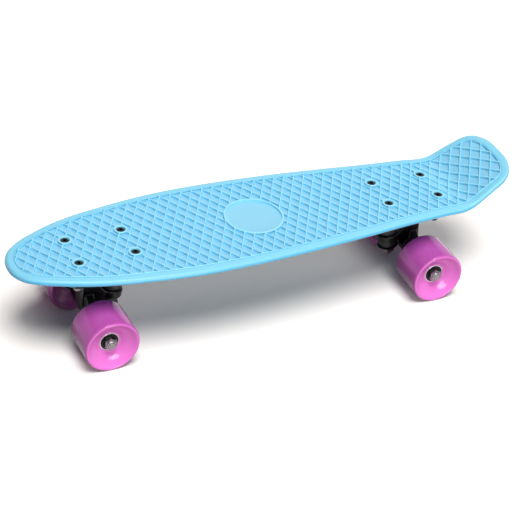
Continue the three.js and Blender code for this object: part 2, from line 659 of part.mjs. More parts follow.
// The ball end of the hanger's nose, with its neck running down into the hanger.
function hangerNose() {
  const sweep = Math.PI / 2 + Math.acos(PIVOT_NECK_RADIUS / PIVOT_BALL_RADIUS);
  const ball = Array.from({ length: PIVOT_ARC_STEPS }, (_, i) => {
    const angle = ((i + 1) / PIVOT_ARC_STEPS) * sweep - Math.PI / 2;
    return [PIVOT_BALL_RADIUS * Math.cos(angle), PIVOT_BALL_RADIUS * Math.sin(angle)];
  });
  const profile = [
    [0, -PIVOT_BALL_RADIUS],
    ...ball,
    [PIVOT_NECK_RADIUS, HANGER_NECK_START],
    [HANGER_NECK_RADIUS, HANGER_NECK_END],
    [0, HANGER_NECK_END],
  ];
  return onSteeringAxis(turned(profile, PIVOT_SIDES));
}

// The barrel round the axle. Its end bosses stand close to the inner bearings.
function hangerBarrel() {
  const side = [
    [HANGER_BARREL_RADIUS, HANGER_WEB_WIDTH / 2],
    [HANGER_END_RADIUS, HANGER_END - HANGER_WING_END_FROM_TIP],
    [HANGER_END_RADIUS, HANGER_END],
    [HANGER_BOSS_RADIUS, HANGER_END],
    [HANGER_BOSS_RADIUS, HANGER_BOSS_END],
  ];
  const mirrored = side.map(([radius, height]) => [radius, -height]).reverse();
  const profile = [[0, -HANGER_BOSS_END], ...mirrored, ...side, [0, HANGER_BOSS_END]];
  return acrossBoard(turned(profile, HANGER_SIDES));
}

function hangerWings() {
  const end = HANGER_END - HANGER_WING_END_FROM_TIP;
  const top = AXLE_HEIGHT + HANGER_WING_HEIGHT;
  const points = [
    [-end, AXLE_HEIGHT],
    [end, AXLE_HEIGHT],
    [end, AXLE_HEIGHT + HANGER_END_RADIUS / 2],
    [HANGER_WEB_WIDTH / 2, top],
    [-HANGER_WEB_WIDTH / 2, top],
    [-end, AXLE_HEIGHT + HANGER_END_RADIUS / 2],
  ];
  const wings = frontPlate(points, HANGER_WING_THICKNESS);
  return wings.translate(-AXLE_OUTBOARD - HANGER_WING_THICKNESS / 4, 0, 0);
}

function hangerWeb() {
  const outboard = -AXLE_OUTBOARD - HANGER_BARREL_RADIUS;
  const inboard = RING_X - RING_BORE_RADIUS;
  const ringTop = RING_HEIGHT + RING_THICKNESS / 2 - SEAT_GAP;
  const ringBottom = RING_HEIGHT - RING_THICKNESS / 2 + SEAT_GAP;
  const besideNeck = (along, up) => [
    along * Math.cos(STEERING_SLOPE) + up * Math.sin(STEERING_SLOPE) - STEERING_PIVOT_OUTBOARD,
    up * Math.cos(STEERING_SLOPE) - along * Math.sin(STEERING_SLOPE) + PIVOT_HEIGHT,
  ];
  return sidePlate(
    [
      [outboard, AXLE_HEIGHT],
      [-AXLE_OUTBOARD, AXLE_HEIGHT - HANGER_BARREL_RADIUS / 2],
      [inboard - HANGER_BARREL_RADIUS, AXLE_HEIGHT],
      [inboard, ringBottom],
      [inboard, ringTop],
      besideNeck(HANGER_NECK_END, HANGER_NECK_RADIUS),
      besideNeck(HANGER_NECK_START, -PIVOT_NECK_RADIUS),
      [outboard, AXLE_HEIGHT + HANGER_WING_HEIGHT / 2],
    ],
    HANGER_WEB_WIDTH,
  );
}

function hangerGeometry() {
  const ring = onKingpin(rod(RING_RADIUS, -RING_THICKNESS / 2, RING_THICKNESS / 2, RING_SIDES));
  const bore = onKingpin(rod(RING_BORE_RADIUS, -RING_THICKNESS, RING_THICKNESS, KINGPIN_SIDES));
  const roomRadius = CUP_WASHER_RADIUS + BUSHING_ROOM;
  const room = onKingpin(rod(roomRadius, RING_THICKNESS / 2, KINGPIN_HEAD_ABOVE_RING, RING_SIDES));
  const lowerRoom = onKingpin(rod(RING_RADIUS, KINGPIN_NUT_LEVEL, -RING_THICKNESS / 2, RING_SIDES));
  const axleHole = acrossBoard(rod(AXLE_RADIUS + SEAT_GAP, -AXLE_LENGTH / 2, AXLE_LENGTH / 2, AXLE_SIDES));
  const casting = joined(hangerBarrel(), hangerWeb(), hangerWings(), hangerNose(), ring);
  return cut(casting, room, lowerRoom, bore, axleHole);
}

function kingpinGeometry() {
  const end = KINGPIN_NUT_LEVEL - KINGPIN_END_LENGTH;
  const headTop = KINGPIN_HEAD_ABOVE_RING + KINGPIN_HEAD_HEIGHT;
  const shank = rod(KINGPIN_RADIUS, end, headTop - KINGPIN_HEAD_HEIGHT / 2, KINGPIN_SIDES);
  return joined(shank, hexPrism(KINGPIN_HEAD_WIDTH, KINGPIN_HEAD_ABOVE_RING, headTop));
}

function bushingGeometry(radius, bottom, height) {
  const inner = [KINGPIN_RADIUS + SEAT_GAP, bottom];
  const profile = [
    inner,
    [radius - BUSHING_BULGE, bottom],
    [radius, bottom + height / 2],
    [radius - BUSHING_BULGE, bottom + height],
    [KINGPIN_RADIUS + SEAT_GAP, bottom + height],
    inner,
  ];
  return turned(profile, BUSHING_SIDES);
}

function axleGeometry() {
  const half = AXLE_LENGTH / 2;
  const profile = [
    [0, -half],
    [AXLE_RADIUS - AXLE_CHAMFER, -half],
    [AXLE_RADIUS, AXLE_CHAMFER - half],
    [AXLE_RADIUS, half - AXLE_CHAMFER],
    [AXLE_RADIUS - AXLE_CHAMFER, half],
    [0, half],
  ];
  return turned(profile, AXLE_SIDES);
}

// Wheel pieces, about the wheel's own middle, with +Z facing out from the board
function wheelHalfProfile(lipRadius, lipWidth) {
  const seat = BEARING_RADIUS + SEAT_GAP;
  const half = WHEEL_WIDTH / 2;
  return [
    [HUB_BORE_RADIUS, BEARING_SPACING / 2 - SEAT_GAP],
    [seat, BEARING_SPACING / 2 - SEAT_GAP],
    [seat, HUB_FACE],
    [seat + DISH_LIP_WIDTH, HUB_FACE],
    [DISH_BEND_RADIUS, HUB_FACE + DISH_BEND_RISE],
    [WHEEL_RADIUS - lipRadius - RIM_FLAT_WIDTH, half],
    [WHEEL_RADIUS - lipRadius, half],
    [WHEEL_RADIUS, half - lipWidth],
  ];
}

function wheelGeometry() {
  const outer = wheelHalfProfile(TREAD_LIP_RADIUS, TREAD_LIP_WIDTH);
  const inner = wheelHalfProfile(INNER_LIP_RADIUS, INNER_LIP_WIDTH);
  const mirrored = inner.map(([radius, height]) => [radius, -height]);
  const profile = [...mirrored, ...outer.reverse(), mirrored[0]];
  return turned(profile, WHEEL_SIDES, Math.PI / WHEEL_SIDES);
}

function bearingGeometry() {
  const bore = AXLE_RADIUS + SEAT_GAP;
  const shieldOuter = BEARING_RADIUS - BEARING_RING_WIDTH;
  const shieldInner = bore + BEARING_CORE_WIDTH;
  const shield = BEARING_WIDTH - BEARING_SHIELD_DEPTH;
  const profile = [
    [bore, 0],
    [BEARING_RADIUS, 0],
    [BEARING_RADIUS, BEARING_WIDTH],
    [shieldOuter, BEARING_WIDTH],
    [shieldOuter, shield],
    [shieldInner, shield],
    [shieldInner, BEARING_WIDTH],
    [bore, BEARING_WIDTH],
    [bore, 0],
  ];
  return turned(profile, BEARING_SIDES);
}

// Assembly
const board = new THREE.Group();

function addPiece(parent, name, geometry, material, x = 0, y = 0, z = 0) {
  const mesh = new THREE.Mesh(geometry, material);
  mesh.name = name;
  mesh.position.set(x, y, z);
  parent.add(mesh);
  return mesh;
}

function addDeck() {
  addPiece(board, "deck", deckGeometry(), deckPlastic);
}

function addDeckBolts() {
  const nut = lockNutGeometry();
  deckBoltPlaces().forEach(({ x, y, top }, i) => {
    const name = (i < 4 ? "front" : "rear") + "_deck_bolt_" + ((i % 4) + 1);
    addPiece(board, name, deckBoltGeometry(top), blackSteel, x, y);
    addPiece(board, name.replace("bolt", "lock_nut"), nut, steel, x, y);
  });
}

function addBushingStack(truck, end) {
  const stack = new THREE.Group();
  stack.position.set(RING_X, 0, RING_HEIGHT);
  stack.rotation.y = KINGPIN_LEAN;
  truck.add(stack);
  const bore = KINGPIN_RADIUS + SEAT_GAP;
  const washer = tube(bore, CUP_WASHER_RADIUS, 0, CUP_WASHER_THICKNESS, CUP_WASHER_SIDES);
  const aboveRing = RING_THICKNESS / 2 + SEAT_GAP;
  const belowRing = -aboveRing - ROADSIDE_BUSHING_HEIGHT;
  addPiece(stack, end + "_kingpin", kingpinGeometry(), blackSteel);
  addPiece(
    stack, end + "_boardside_bushing",
    bushingGeometry(BOARDSIDE_BUSHING_RADIUS, aboveRing, BOARDSIDE_BUSHING_HEIGHT), blackUrethane,
  );
  addPiece(
    stack, end + "_roadside_bushing",
    bushingGeometry(ROADSIDE_BUSHING_RADIUS, belowRing, ROADSIDE_BUSHING_HEIGHT), blackUrethane,
  );
  addPiece(stack, end + "_boardside_cup_washer", washer, steel, 0, 0, BOARDSIDE_WASHER_LEVEL);
  addPiece(stack, end + "_roadside_cup_washer", washer, blackSteel, 0, 0, ROADSIDE_WASHER_LEVEL);
  const nut = nutWithBore(KINGPIN_NUT_WIDTH, bore, 0, KINGPIN_NUT_HEIGHT);
  addPiece(stack, end + "_kingpin_nut", nut, steel, 0, 0, KINGPIN_NUT_LEVEL);
}

function addWheel(axleGroup, name, side) {
  const wheelGroup = new THREE.Group();
  wheelGroup.position.z = side * WHEEL_MIDDLE;
  wheelGroup.rotation.x = side > 0 ? 0 : Math.PI;
  axleGroup.add(wheelGroup);
  const bearing = bearingGeometry();
  const washer = HUB_FACE + SEAT_GAP;
  const nut = washer + SPEED_WASHER_THICKNESS + SEAT_GAP;
  const bore = AXLE_RADIUS + SEAT_GAP;
  addPiece(wheelGroup, name + "_wheel", wheelGeometry(), wheelUrethane);
  addPiece(wheelGroup, name + "_outer_bearing", bearing, bearingSteel, 0, 0, BEARING_SPACING / 2);
  const innerFace = -BEARING_SPACING / 2;
  const inner = addPiece(wheelGroup, name + "_inner_bearing", bearing, bearingSteel, 0, 0, innerFace);
  inner.rotation.x = Math.PI;
  const washerShape = tube(bore, SPEED_WASHER_RADIUS, 0, SPEED_WASHER_THICKNESS, AXLE_SIDES);
  addPiece(wheelGroup, name + "_speed_washer", washerShape, steel, 0, 0, washer);
  const nutShape = nutWithBore(AXLE_NUT_WIDTH, bore, 0, AXLE_NUT_HEIGHT);
  addPiece(wheelGroup, name + "_axle_nut", nutShape, steel, 0, 0, nut);
}

// The rear truck is the front one turned round.
function addTruck(end, centre, turn) {
  const truck = new THREE.Group();
  truck.position.x = centre;
  truck.rotation.z = turn;
  board.add(truck);
  addPiece(truck, end + "_baseplate", baseplateGeometry(), blackPaint);
  addPiece(truck, end + "_pivot_cup", pivotCupGeometry(), cupPlastic);
  addPiece(truck, end + "_hanger", hangerGeometry(), blackPaint);
  addBushingStack(truck, end);
  const axleGroup = new THREE.Group();
  axleGroup.position.set(-AXLE_OUTBOARD, 0, AXLE_HEIGHT);
  axleGroup.rotation.x = -Math.PI / 2;
  truck.add(axleGroup);
  addPiece(axleGroup, end + "_axle", axleGeometry(), steel);
  const near = turn ? 1 : -1;
  addWheel(axleGroup, end + "_left", near);
  addWheel(axleGroup, end + "_right", -near);
}

addDeck();
addDeckBolts();
addTruck("front", FRONT_TRUCK_X, 0);
addTruck("rear", REAR_TRUCK_X, Math.PI);

export default board;
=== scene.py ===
# %% [markdown]
# # A small plastic cruiser board
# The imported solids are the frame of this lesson: they say where each piece of the board is and how big it is.
# A scene could also be built by eye and scaled afterwards, but then a wheel and its axle soon disagree. Here
# each visible piece is shaped from the solid that it stands for, in metres, and then gets its finish.

# %% Load the frame
import json
import math

import bmesh
import bpy
from mathutils import Matrix, Vector


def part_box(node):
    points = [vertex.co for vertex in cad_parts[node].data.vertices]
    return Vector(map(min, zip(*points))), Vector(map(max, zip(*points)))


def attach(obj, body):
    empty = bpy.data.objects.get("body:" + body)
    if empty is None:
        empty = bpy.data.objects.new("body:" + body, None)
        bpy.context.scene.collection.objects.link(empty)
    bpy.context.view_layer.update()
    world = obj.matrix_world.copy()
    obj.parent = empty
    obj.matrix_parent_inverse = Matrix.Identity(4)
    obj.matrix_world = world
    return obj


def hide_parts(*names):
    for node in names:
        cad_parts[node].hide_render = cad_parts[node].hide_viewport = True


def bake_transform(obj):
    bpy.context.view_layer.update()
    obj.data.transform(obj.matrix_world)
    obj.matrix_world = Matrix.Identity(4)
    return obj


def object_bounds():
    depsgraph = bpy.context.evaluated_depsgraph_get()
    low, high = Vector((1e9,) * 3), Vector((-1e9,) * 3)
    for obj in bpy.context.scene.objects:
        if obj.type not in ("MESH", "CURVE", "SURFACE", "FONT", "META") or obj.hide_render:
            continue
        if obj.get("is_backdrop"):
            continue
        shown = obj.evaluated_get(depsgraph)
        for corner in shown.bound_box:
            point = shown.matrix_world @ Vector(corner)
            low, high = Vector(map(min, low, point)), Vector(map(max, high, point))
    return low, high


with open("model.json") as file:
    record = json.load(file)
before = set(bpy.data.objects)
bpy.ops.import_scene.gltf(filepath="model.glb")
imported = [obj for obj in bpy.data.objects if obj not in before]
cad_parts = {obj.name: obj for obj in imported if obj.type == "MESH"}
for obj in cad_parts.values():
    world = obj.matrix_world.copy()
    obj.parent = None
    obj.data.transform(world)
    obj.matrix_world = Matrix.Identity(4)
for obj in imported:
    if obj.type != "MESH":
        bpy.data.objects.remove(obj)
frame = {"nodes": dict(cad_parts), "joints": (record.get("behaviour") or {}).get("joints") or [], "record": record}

nodes = frame["nodes"]
joints = {joint["name"]: joint for joint in frame["joints"]}
cad_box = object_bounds()
print("solids:", len(nodes), "joints:", len(joints))
print("box from", tuple(round(x, 4) for x in cad_box[0]), "to", tuple(round(x, 4) for x in cad_box[1]))

# %% [markdown]
# ## The camera
# A camera can be aimed at a target with a constraint, or placed by its position and three angles. Yaw, pitch
# and roll are used here, because a photographed object seldom sits level in its frame and the roll is then
# one number. The board is seen from its near side, a little from the nose and from well above, through a long
# lens.

# %% Place the camera
CAMERA_PLACE = Vector((-0.8085, -1.4857, 1.2471))
CAMERA_YAW = math.radians(28.43)
CAMERA_PITCH = math.radians(35.33)
CAMERA_ROLL = math.radians(6.17)
CAMERA_LENS = 135.2
CAMERA_REACH = 20

camera = bpy.data.objects.new("camera", bpy.data.cameras.new("camera"))
bpy.context.scene.collection.objects.link(camera)
turn = Matrix.Rotation(-CAMERA_YAW, 4, "Z") @ Matrix.Rotation(math.pi / 2 - CAMERA_PITCH, 4, "X")
camera.matrix_world = Matrix.Translation(CAMERA_PLACE) @ turn @ Matrix.Rotation(CAMERA_ROLL, 4, "Z")
camera.data.lens = CAMERA_LENS
camera.data.clip_end = CAMERA_REACH
bpy.context.scene.camera = camera
print("camera distance:", round(CAMERA_PLACE.length, 3), "m")

# %% [markdown]
# ## Tools for the making
# Most pieces of a truck are turned: wheels, bearings, washers and bushings are a profile spun round an axis.
# A profile's corners could be bevelled after the spin, but it is simpler to round them on the profile itself,
# where a corner is one vertex. Each profile point holds a radius, a height and the rounding of its corner. A
# large piece is turned in more steps than a small one, because its flats would show sooner.

# %% Turn a profile
ROUND_STEPS = 4
FINE_STEPS = 96
TURN_STEPS = 64
NUT_STEPS = 48
SMALL_STEPS = 40
SAME_PLACE = 1e-6


def turned(profile, steps=TURN_STEPS):
    bm = bmesh.new()
    corners = [bm.verts.new((radius, 0, height)) for radius, height, rounding in profile]
    for pair in zip(corners, corners[1:]):
        bm.edges.new(pair)
    for corner, (radius, height, rounding) in zip(corners, profile):
        if rounding:
            bmesh.ops.bevel(
                bm, geom=[corner], offset=rounding, offset_type="OFFSET", segments=ROUND_STEPS, profile=0.5,
                affect="VERTICES", material=-1,
            )
    bmesh.ops.spin(
        bm, geom=bm.verts[:] + bm.edges[:], cent=(0, 0, 0), axis=(0, 0, 1), angle=2 * math.pi, steps=steps,
        use_merge=True,
    )
    bmesh.ops.remove_doubles(bm, verts=bm.verts, dist=SAME_PLACE)
    bmesh.ops.recalc_face_normals(bm, faces=bm.faces)
    return bm


# %% [markdown]
# A piece takes its measures from the solid that it stands for. The solid's box is in the board's own
# directions, so it says little about a leaning kingpin. Reading the solid's corners in the piece's own axes
# gives its lowest and highest point along the axis and how far out it reaches.

# %% Measure a solid along its axis
def reach(node, place):
    inverse = place.inverted()
    points = [inverse @ vertex.co for vertex in nodes[node].data.vertices]
    heights = [point.z for point in points]
    return min(heights), max(heights), max(point.xy.length for point in points)


# %% [markdown]
# Every piece ends in the same way: it is moved to its place inside its own mesh, so that its object stays at
# the origin, gets its material, rides on the body of its solid and stands for it. Turned pieces also keep how
# far each point lies from their axis, before they are moved, so that a finish can draw the rings that a lathe
# or a mould leaves.

# %% Finish a piece
SMOOTH_ANGLE = math.radians(35)


def mark_rings(bm):
    layer = bm.verts.layers.float.new("ring_radius")
    for vertex in bm.verts:
        vertex[layer] = vertex.co.xy.length


def add_mesh(name, bm, place, slot, smooth_angle=SMOOTH_ANGLE):
    mark_rings(bm)
    bmesh.ops.transform(bm, matrix=place, verts=bm.verts)
    mesh = bpy.data.meshes.new(name)
    bm.to_mesh(mesh)
    bm.free()
    mesh.shade_smooth()
    mesh.set_sharp_from_angle(angle=smooth_angle)
    mesh.materials.append(finishes[slot])
    piece = bpy.data.objects.new(name, mesh)
    bpy.context.scene.collection.objects.link(piece)
    return piece


def add_piece(name, bm, place, node, smooth_angle=SMOOTH_ANGLE):
    piece = add_mesh(name, bm, place, slot_of[node], smooth_angle)
    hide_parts(node)
    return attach(piece, body_of[node])


slot_of = {part["node"]: part["material_slot"] for part in frame["record"]["subparts"]}
body_of = {node: body for body, names in frame["record"]["behaviour"]["bodies"].items() for node in names}
print("slots:", sorted(set(slot_of.values())))

# %% [markdown]
# Cuts and joins need a Boolean. The modifier works on objects, so the helper lends the bmesh to two short-
# lived objects, applies the result and takes it back. The manifold solver is quick and keeps closed shapes
# closed.

# %% Join and cut
def lend(bm, name):
    mesh = bpy.data.meshes.new(name)
    bm.to_mesh(mesh)
    piece = bpy.data.objects.new(name, mesh)
    bpy.context.scene.collection.objects.link(piece)
    return piece


def combined(bm, other, operation):
    body = lend(bm, "boolean_body")
    tool = lend(other, "boolean_tool")
    modifier = body.modifiers.new("boolean", "BOOLEAN")
    modifier.object = tool
    modifier.operation = operation
    modifier.solver = "MANIFOLD"
    result = body.evaluated_get(bpy.context.evaluated_depsgraph_get()).to_mesh()
    bm.clear()
    bm.from_mesh(result)
    other.free()
    for piece in (body, tool):
        mesh = piece.data
        bpy.data.objects.remove(piece)
        bpy.data.meshes.remove(mesh)
    return bm


def joined(bm, other):
    return combined(bm, other, "UNION")


def cut(bm, other):
    return combined(bm, other, "DIFFERENCE")


# %% [markdown]
# ## Finishes
# Several finishes share an effect. A node group is built once for each effect and used in every material that
# needs it, with its own values. A group gives out numbers that vary over the surface; the shader stays in the
# material.
#
# Moulded and cast surfaces are never quite even: there is a fine grain from the mould and a slow drift in
# tone. An image could hold both, but noise in object coordinates has no seams and no fixed sharpness.

# %% Node helpers
def new_group(name, inputs, outputs):
    group = bpy.data.node_groups.new(name, "ShaderNodeTree")
    for socket, value in inputs.items():
        made = group.interface.new_socket(socket, in_out="INPUT", socket_type="NodeSocketFloat")
        made.default_value = value
    for socket in outputs:
        group.interface.new_socket(socket, in_out="OUTPUT", socket_type="NodeSocketFloat")
    return group, group.nodes.new("NodeGroupInput"), group.nodes.new("NodeGroupOutput")


def add_node(tree, kind, **settings):
    node = tree.nodes.new(kind)
    for name, value in settings.items():
        setattr(node, name, value)
    return node


def join_sockets(tree, *pairs):
    for source, target in pairs:
        tree.links.new(source, target)


# %% Grain and drift of a moulded surface
GRAIN_SCALE = 900
DRIFT_SCALE = 18
GRAIN_DETAIL = 3
DRIFT_DETAIL = 2


def make_surface_noise():
    group, given, result = new_group(
        "surface_noise", {"Grain Scale": GRAIN_SCALE, "Drift Scale": DRIFT_SCALE}, ["Grain", "Drift"]
    )
    place = add_node(group, "ShaderNodeTexCoord")
    grain = add_node(group, "ShaderNodeTexNoise")
    grain.inputs["Detail"].default_value = GRAIN_DETAIL
    drift = add_node(group, "ShaderNodeTexNoise")
    drift.inputs["Detail"].default_value = DRIFT_DETAIL
    join_sockets(
        group,
        (place.outputs["Object"], grain.inputs["Vector"]),
        (place.outputs["Object"], drift.inputs["Vector"]),
        (given.outputs["Grain Scale"], grain.inputs["Scale"]),
        (given.outputs["Drift Scale"], drift.inputs["Scale"]),
        (grain.outputs["Fac"], result.inputs["Grain"]),
        (drift.outputs["Fac"], result.inputs["Drift"]),
    )
    return group


surface_noise = make_surface_noise()

# %% [markdown]
# A turned or spin-moulded piece carries faint rings round its axis. They are a sine of the distance from the
# axis, which each turned piece keeps as an attribute, so one group serves pieces on any axle.

# %% Rings of a turned surface
RING_SPACING = 0.0006


def make_turned_rings():
    group, given, result = new_group("turned_rings", {"Spacing": RING_SPACING}, ["Height"])
    radius = add_node(group, "ShaderNodeAttribute", attribute_name="ring_radius")
    turns = add_node(group, "ShaderNodeMath", operation="DIVIDE")
    angle = add_node(group, "ShaderNodeMath", operation="MULTIPLY")
    angle.inputs[1].default_value = 2 * math.pi
    wave = add_node(group, "ShaderNodeMath", operation="SINE")
    join_sockets(
        group,
        (radius.outputs["Fac"], turns.inputs[0]),
        (given.outputs["Spacing"], turns.inputs[1]),
        (turns.outputs["Value"], angle.inputs[0]),
        (angle.outputs["Value"], wave.inputs[0]),
        (wave.outputs["Value"], result.inputs["Height"]),
    )
    return group


turned_rings = make_turned_rings()

# %% [markdown]
# The colour of the deck and the wheels carries painted light. On the deck the ribs' crests get a painted
# highlight, the hollows between them a painted reddish sheen, and the thick edge and the underside a painted
# shade that makes them look deeper. On a wheel the tread gets a painted shade, deeper in tone than the faces.
# Separate materials on separate faces would leave a hard line where the tone changes. Here each follows a
# measure that the mesh keeps as an attribute, the height in the relief or the distance from the axle, and a
# colour ramp over that measure gives the tones, each a factor on red, green and blue.

# %% Tones over a measure
# Painted light on the deck by relief height: painted shade on the underside and the edge (0 to 0.47), a painted
# reddish sheen on the hollows' floors (0.5), a painted highlight on the crests (1).
RELIEF_PAINTED_LIGHT = [
    (0.0, (0.85, 0.94, 0.98)), (0.04, (0.46, 0.82, 0.97)), (0.34, (0.52, 0.85, 0.98)),
    (0.47, (0.85, 0.94, 0.98)), (0.50, (1.12, 0.98, 0.98)), (0.80, (1.02, 1.04, 1.02)),
    (0.92, (1.04, 1.05, 1.02)), (1.0, (1.45, 1.20, 1.12)),
]
# Painted shade on the wheel's tread: its colour is darkened towards the outer radius.
TREAD_PAINTED_SHADE = [(0.0, (1.0, 1.0, 1.0)), (1.0, (0.70, 0.52, 0.70))]
TREAD_SPAN = (0.0284, 0.0293)


def shaded_by(tree, colour, measure, span, tones):
    value = add_node(tree, "ShaderNodeAttribute", attribute_name=measure)
    share = add_node(tree, "ShaderNodeMapRange")
    share.inputs["From Min"].default_value, share.inputs["From Max"].default_value = span
    ramp = add_node(tree, "ShaderNodeValToRGB")
    stops = ramp.color_ramp.elements
    while len(stops) < len(tones):
        stops.new(1)
    for stop, (place, tone) in zip(stops, tones):
        stop.position = place
        stop.color = (*tone, 1)
    product = add_node(tree, "ShaderNodeMix", data_type="RGBA", blend_type="MULTIPLY")
    product.inputs["Factor"].default_value = 1
    join_sockets(
        tree,
        (value.outputs["Fac"], share.inputs["Value"]),
        (share.outputs["Result"], ramp.inputs["Fac"]),
        (colour, product.inputs["A"]),
        (ramp.outputs["Color"], product.inputs["B"]),
    )
    return product.outputs["Result"]


# %% [markdown]
# Each material is a Principled shader. Its base colour drifts between two close tones, its roughness follows
# the same drift over a small range, and its bump adds the grain to the rings where there are any. One
# function with values for each finish keeps them alike; a material built by hand for each piece would soon
# differ by accident.

# %% Colour and bump of a material
def drifting_colour(tree, tones, drift):
    colour = add_node(tree, "ShaderNodeMix", data_type="RGBA")
    colour.inputs["A"].default_value = (*tones[0], 1)
    colour.inputs["B"].default_value = (*tones[1], 1)
    tree.links.new(drift, colour.inputs["Factor"])
    return colour.outputs["Result"]


def add_bump(tree, height, depth):
    bump = add_node(tree, "ShaderNodeBump")
    bump.inputs["Distance"].default_value = depth
    tree.links.new(height, bump.inputs["Height"])
    return bump


def add_ring_bump(tree, normal, depth, spacing):
    turning = add_node(tree, "ShaderNodeGroup", node_tree=turned_rings)
    turning.inputs["Spacing"].default_value = spacing
    bump = add_bump(tree, turning.outputs["Height"], depth)
    tree.links.new(normal, bump.inputs["Normal"])
    return bump.outputs["Normal"]


# %% Make a material
def make_finish(
    name, tones, roughness, grain=0, rings=0, grain_scale=GRAIN_SCALE, drift_scale=DRIFT_SCALE,
    spacing=RING_SPACING, measure=None, **shader
):
    material = bpy.data.materials.new(name)
    material.use_nodes = True
    tree = material.node_tree
    principled = tree.nodes["Principled BSDF"]
    for socket, value in shader.items():
        principled.inputs[socket.replace("_", " ")].default_value = value
    noise = add_node(tree, "ShaderNodeGroup", node_tree=surface_noise)
    noise.inputs["Grain Scale"].default_value = grain_scale
    noise.inputs["Drift Scale"].default_value = drift_scale
    tone = drifting_colour(tree, tones, noise.outputs["Drift"])
    if measure:
        tone = shaded_by(tree, tone, *measure)
    gloss = add_node(tree, "ShaderNodeMapRange")
    gloss.inputs["To Min"].default_value, gloss.inputs["To Max"].default_value = roughness
    normal = add_bump(tree, noise.outputs["Grain"], grain).outputs["Normal"]
    if rings:
        normal = add_ring_bump(tree, normal, rings, spacing)
    join_sockets(
        tree,
        (tone, principled.inputs["Base Color"]),
        (noise.outputs["Drift"], gloss.inputs["Value"]),
        (gloss.outputs["Result"], principled.inputs["Roughness"]),
        (normal, principled.inputs["Normal"]),
    )
    return material


# %% [markdown]
# The deck is pale blue polypropylene with a satin gloss. The wheels are pink urethane, smoother and a little
# translucent, so light goes a short way into them. The trucks are cast aluminium under glossy black paint,
# whose surface ripples slightly like orange peel. Axles and nuts are bright plated steel, and the bolts are
# blackened. Each finish lists its two tones and the range of its roughness, and depths and spacings are in
# metres.

# %% Mix the finishes
finishes = {
    # The deck's colour gets painted highlight, sheen and shade from its relief height.
    "deck_plastic": make_finish(
        "deck_plastic", [(0.205, 0.630, 0.865), (0.235, 0.660, 0.890)], (0.34, 0.42), grain=0.00002,
        grain_scale=1400, drift_scale=14, measure=("relief", (0, 1), RELIEF_PAINTED_LIGHT),
    ),
    # The tread gets painted shade from its distance to the axle.
    "wheel_urethane": make_finish(
        "wheel_urethane", [(0.84, 0.18, 0.66), (0.88, 0.21, 0.70)], (0.10, 0.15), grain=0.000006,
        measure=("ring_radius", TREAD_SPAN, TREAD_PAINTED_SHADE), Specular_IOR_Level=0.3, Subsurface_Weight=0.05,
        Subsurface_Radius=(0.004, 0.0015, 0.003),
    ),
    "truck_paint": make_finish(
        "truck_paint", [(0.006, 0.006, 0.007), (0.011, 0.011, 0.012)], (0.22, 0.34), grain=0.00003,
        grain_scale=420, Specular_IOR_Level=0.25,
    ),
    "bright_steel": make_finish(
        "bright_steel", [(0.20, 0.19, 0.20), (0.32, 0.31, 0.32)], (0.12, 0.22), grain=0.000008,
        rings=0.000008, spacing=0.0003, grain_scale=2400, Metallic=1,
    ),
    "black_steel": make_finish(
        "black_steel", [(0.003, 0.007, 0.012), (0.006, 0.011, 0.018)], (0.34, 0.46), grain=0.00001,
        grain_scale=2600, Metallic=0.4, Specular_IOR_Level=0.25,
    ),
    "bearing_steel": make_finish(
        "bearing_steel", [(0.42, 0.42, 0.43), (0.58, 0.58, 0.59)], (0.12, 0.20), rings=0.00001,
        spacing=0.0004, Metallic=1,
    ),
    "bushing_urethane": make_finish(
        "bushing_urethane", [(0.012, 0.012, 0.014), (0.02, 0.02, 0.022)], (0.45, 0.6), grain=0.00002,
        rings=0.00001, spacing=0.0009,
    ),
    "cup_plastic": make_finish(
        "cup_plastic", [(0.006, 0.006, 0.007), (0.010, 0.010, 0.011)], (0.4, 0.5), grain=0.00001,
        grain_scale=1800, Specular_IOR_Level=0.2,
    ),
}
print("finishes:", len(finishes))

# %% [markdown]
# ## The deck
# The deck is one moulding: a rim with a rounded shoulder, a waffle of thin ribs on top and stiffening ribs
# below. It could be one flat sheet with the waffle as a bump, but the ribs' walls catch the light and hide
# each other, so they are real. The moulding is made flat, where every cut is straight, and bent at the end.
#
# The outline starts as a smooth curve through a few points from nose to tail, mirrored to the other side.
# Each point is a share of the deck's length and of half its width, so the deck keeps its shape at another
# size.

# %% Draw the outline
OUTLINE_SHARES = [
    (0, 0), (0.0093, 0.273), (0.0283, 0.428), (0.0777, 0.625), (0.1369, 0.783), (0.2244, 0.907),
    (0.3118, 0.983), (0.3993, 1), (0.53, 0.957), (0.6616, 0.865), (0.749, 0.791), (0.8365, 0.734),
    (0.895, 0.697), (0.9447, 0.648), (0.972, 0.598), (0.9897, 0.454), (1, 0),
]
CURVE_STEPS = 12

deck_low, deck_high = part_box("deck")
deck_length = deck_high.x - deck_low.x
half_width = deck_high.y
outline_line = [(deck_low.x + along * deck_length, across * half_width) for along, across in OUTLINE_SHARES]


def outline_face():
    curve = bpy.data.curves.new("outline", "CURVE")
    spline = curve.splines.new("BEZIER")
    places = outline_line + [(x, -y) for x, y in reversed(outline_line[1:-1])]
    spline.bezier_points.add(len(places) - 1)
    for point, (x, y) in zip(spline.bezier_points, places):
        point.co = (x, y, 0)
        point.handle_left_type = point.handle_right_type = "AUTO"
    spline.use_cyclic_u = True
    spline.resolution_u = CURVE_STEPS
    drawn = bpy.data.objects.new("outline", curve)
    bpy.context.scene.collection.objects.link(drawn)
    bm = bmesh.new()
    bm.from_mesh(drawn.evaluated_get(bpy.context.evaluated_depsgraph_get()).to_mesh())
    bpy.data.objects.remove(drawn)
    bmesh.ops.contextual_create(bm, geom=bm.edges[:])
    return bm


print("deck:", round(deck_length, 4), "m long,", round(2 * half_width, 4), "m wide")

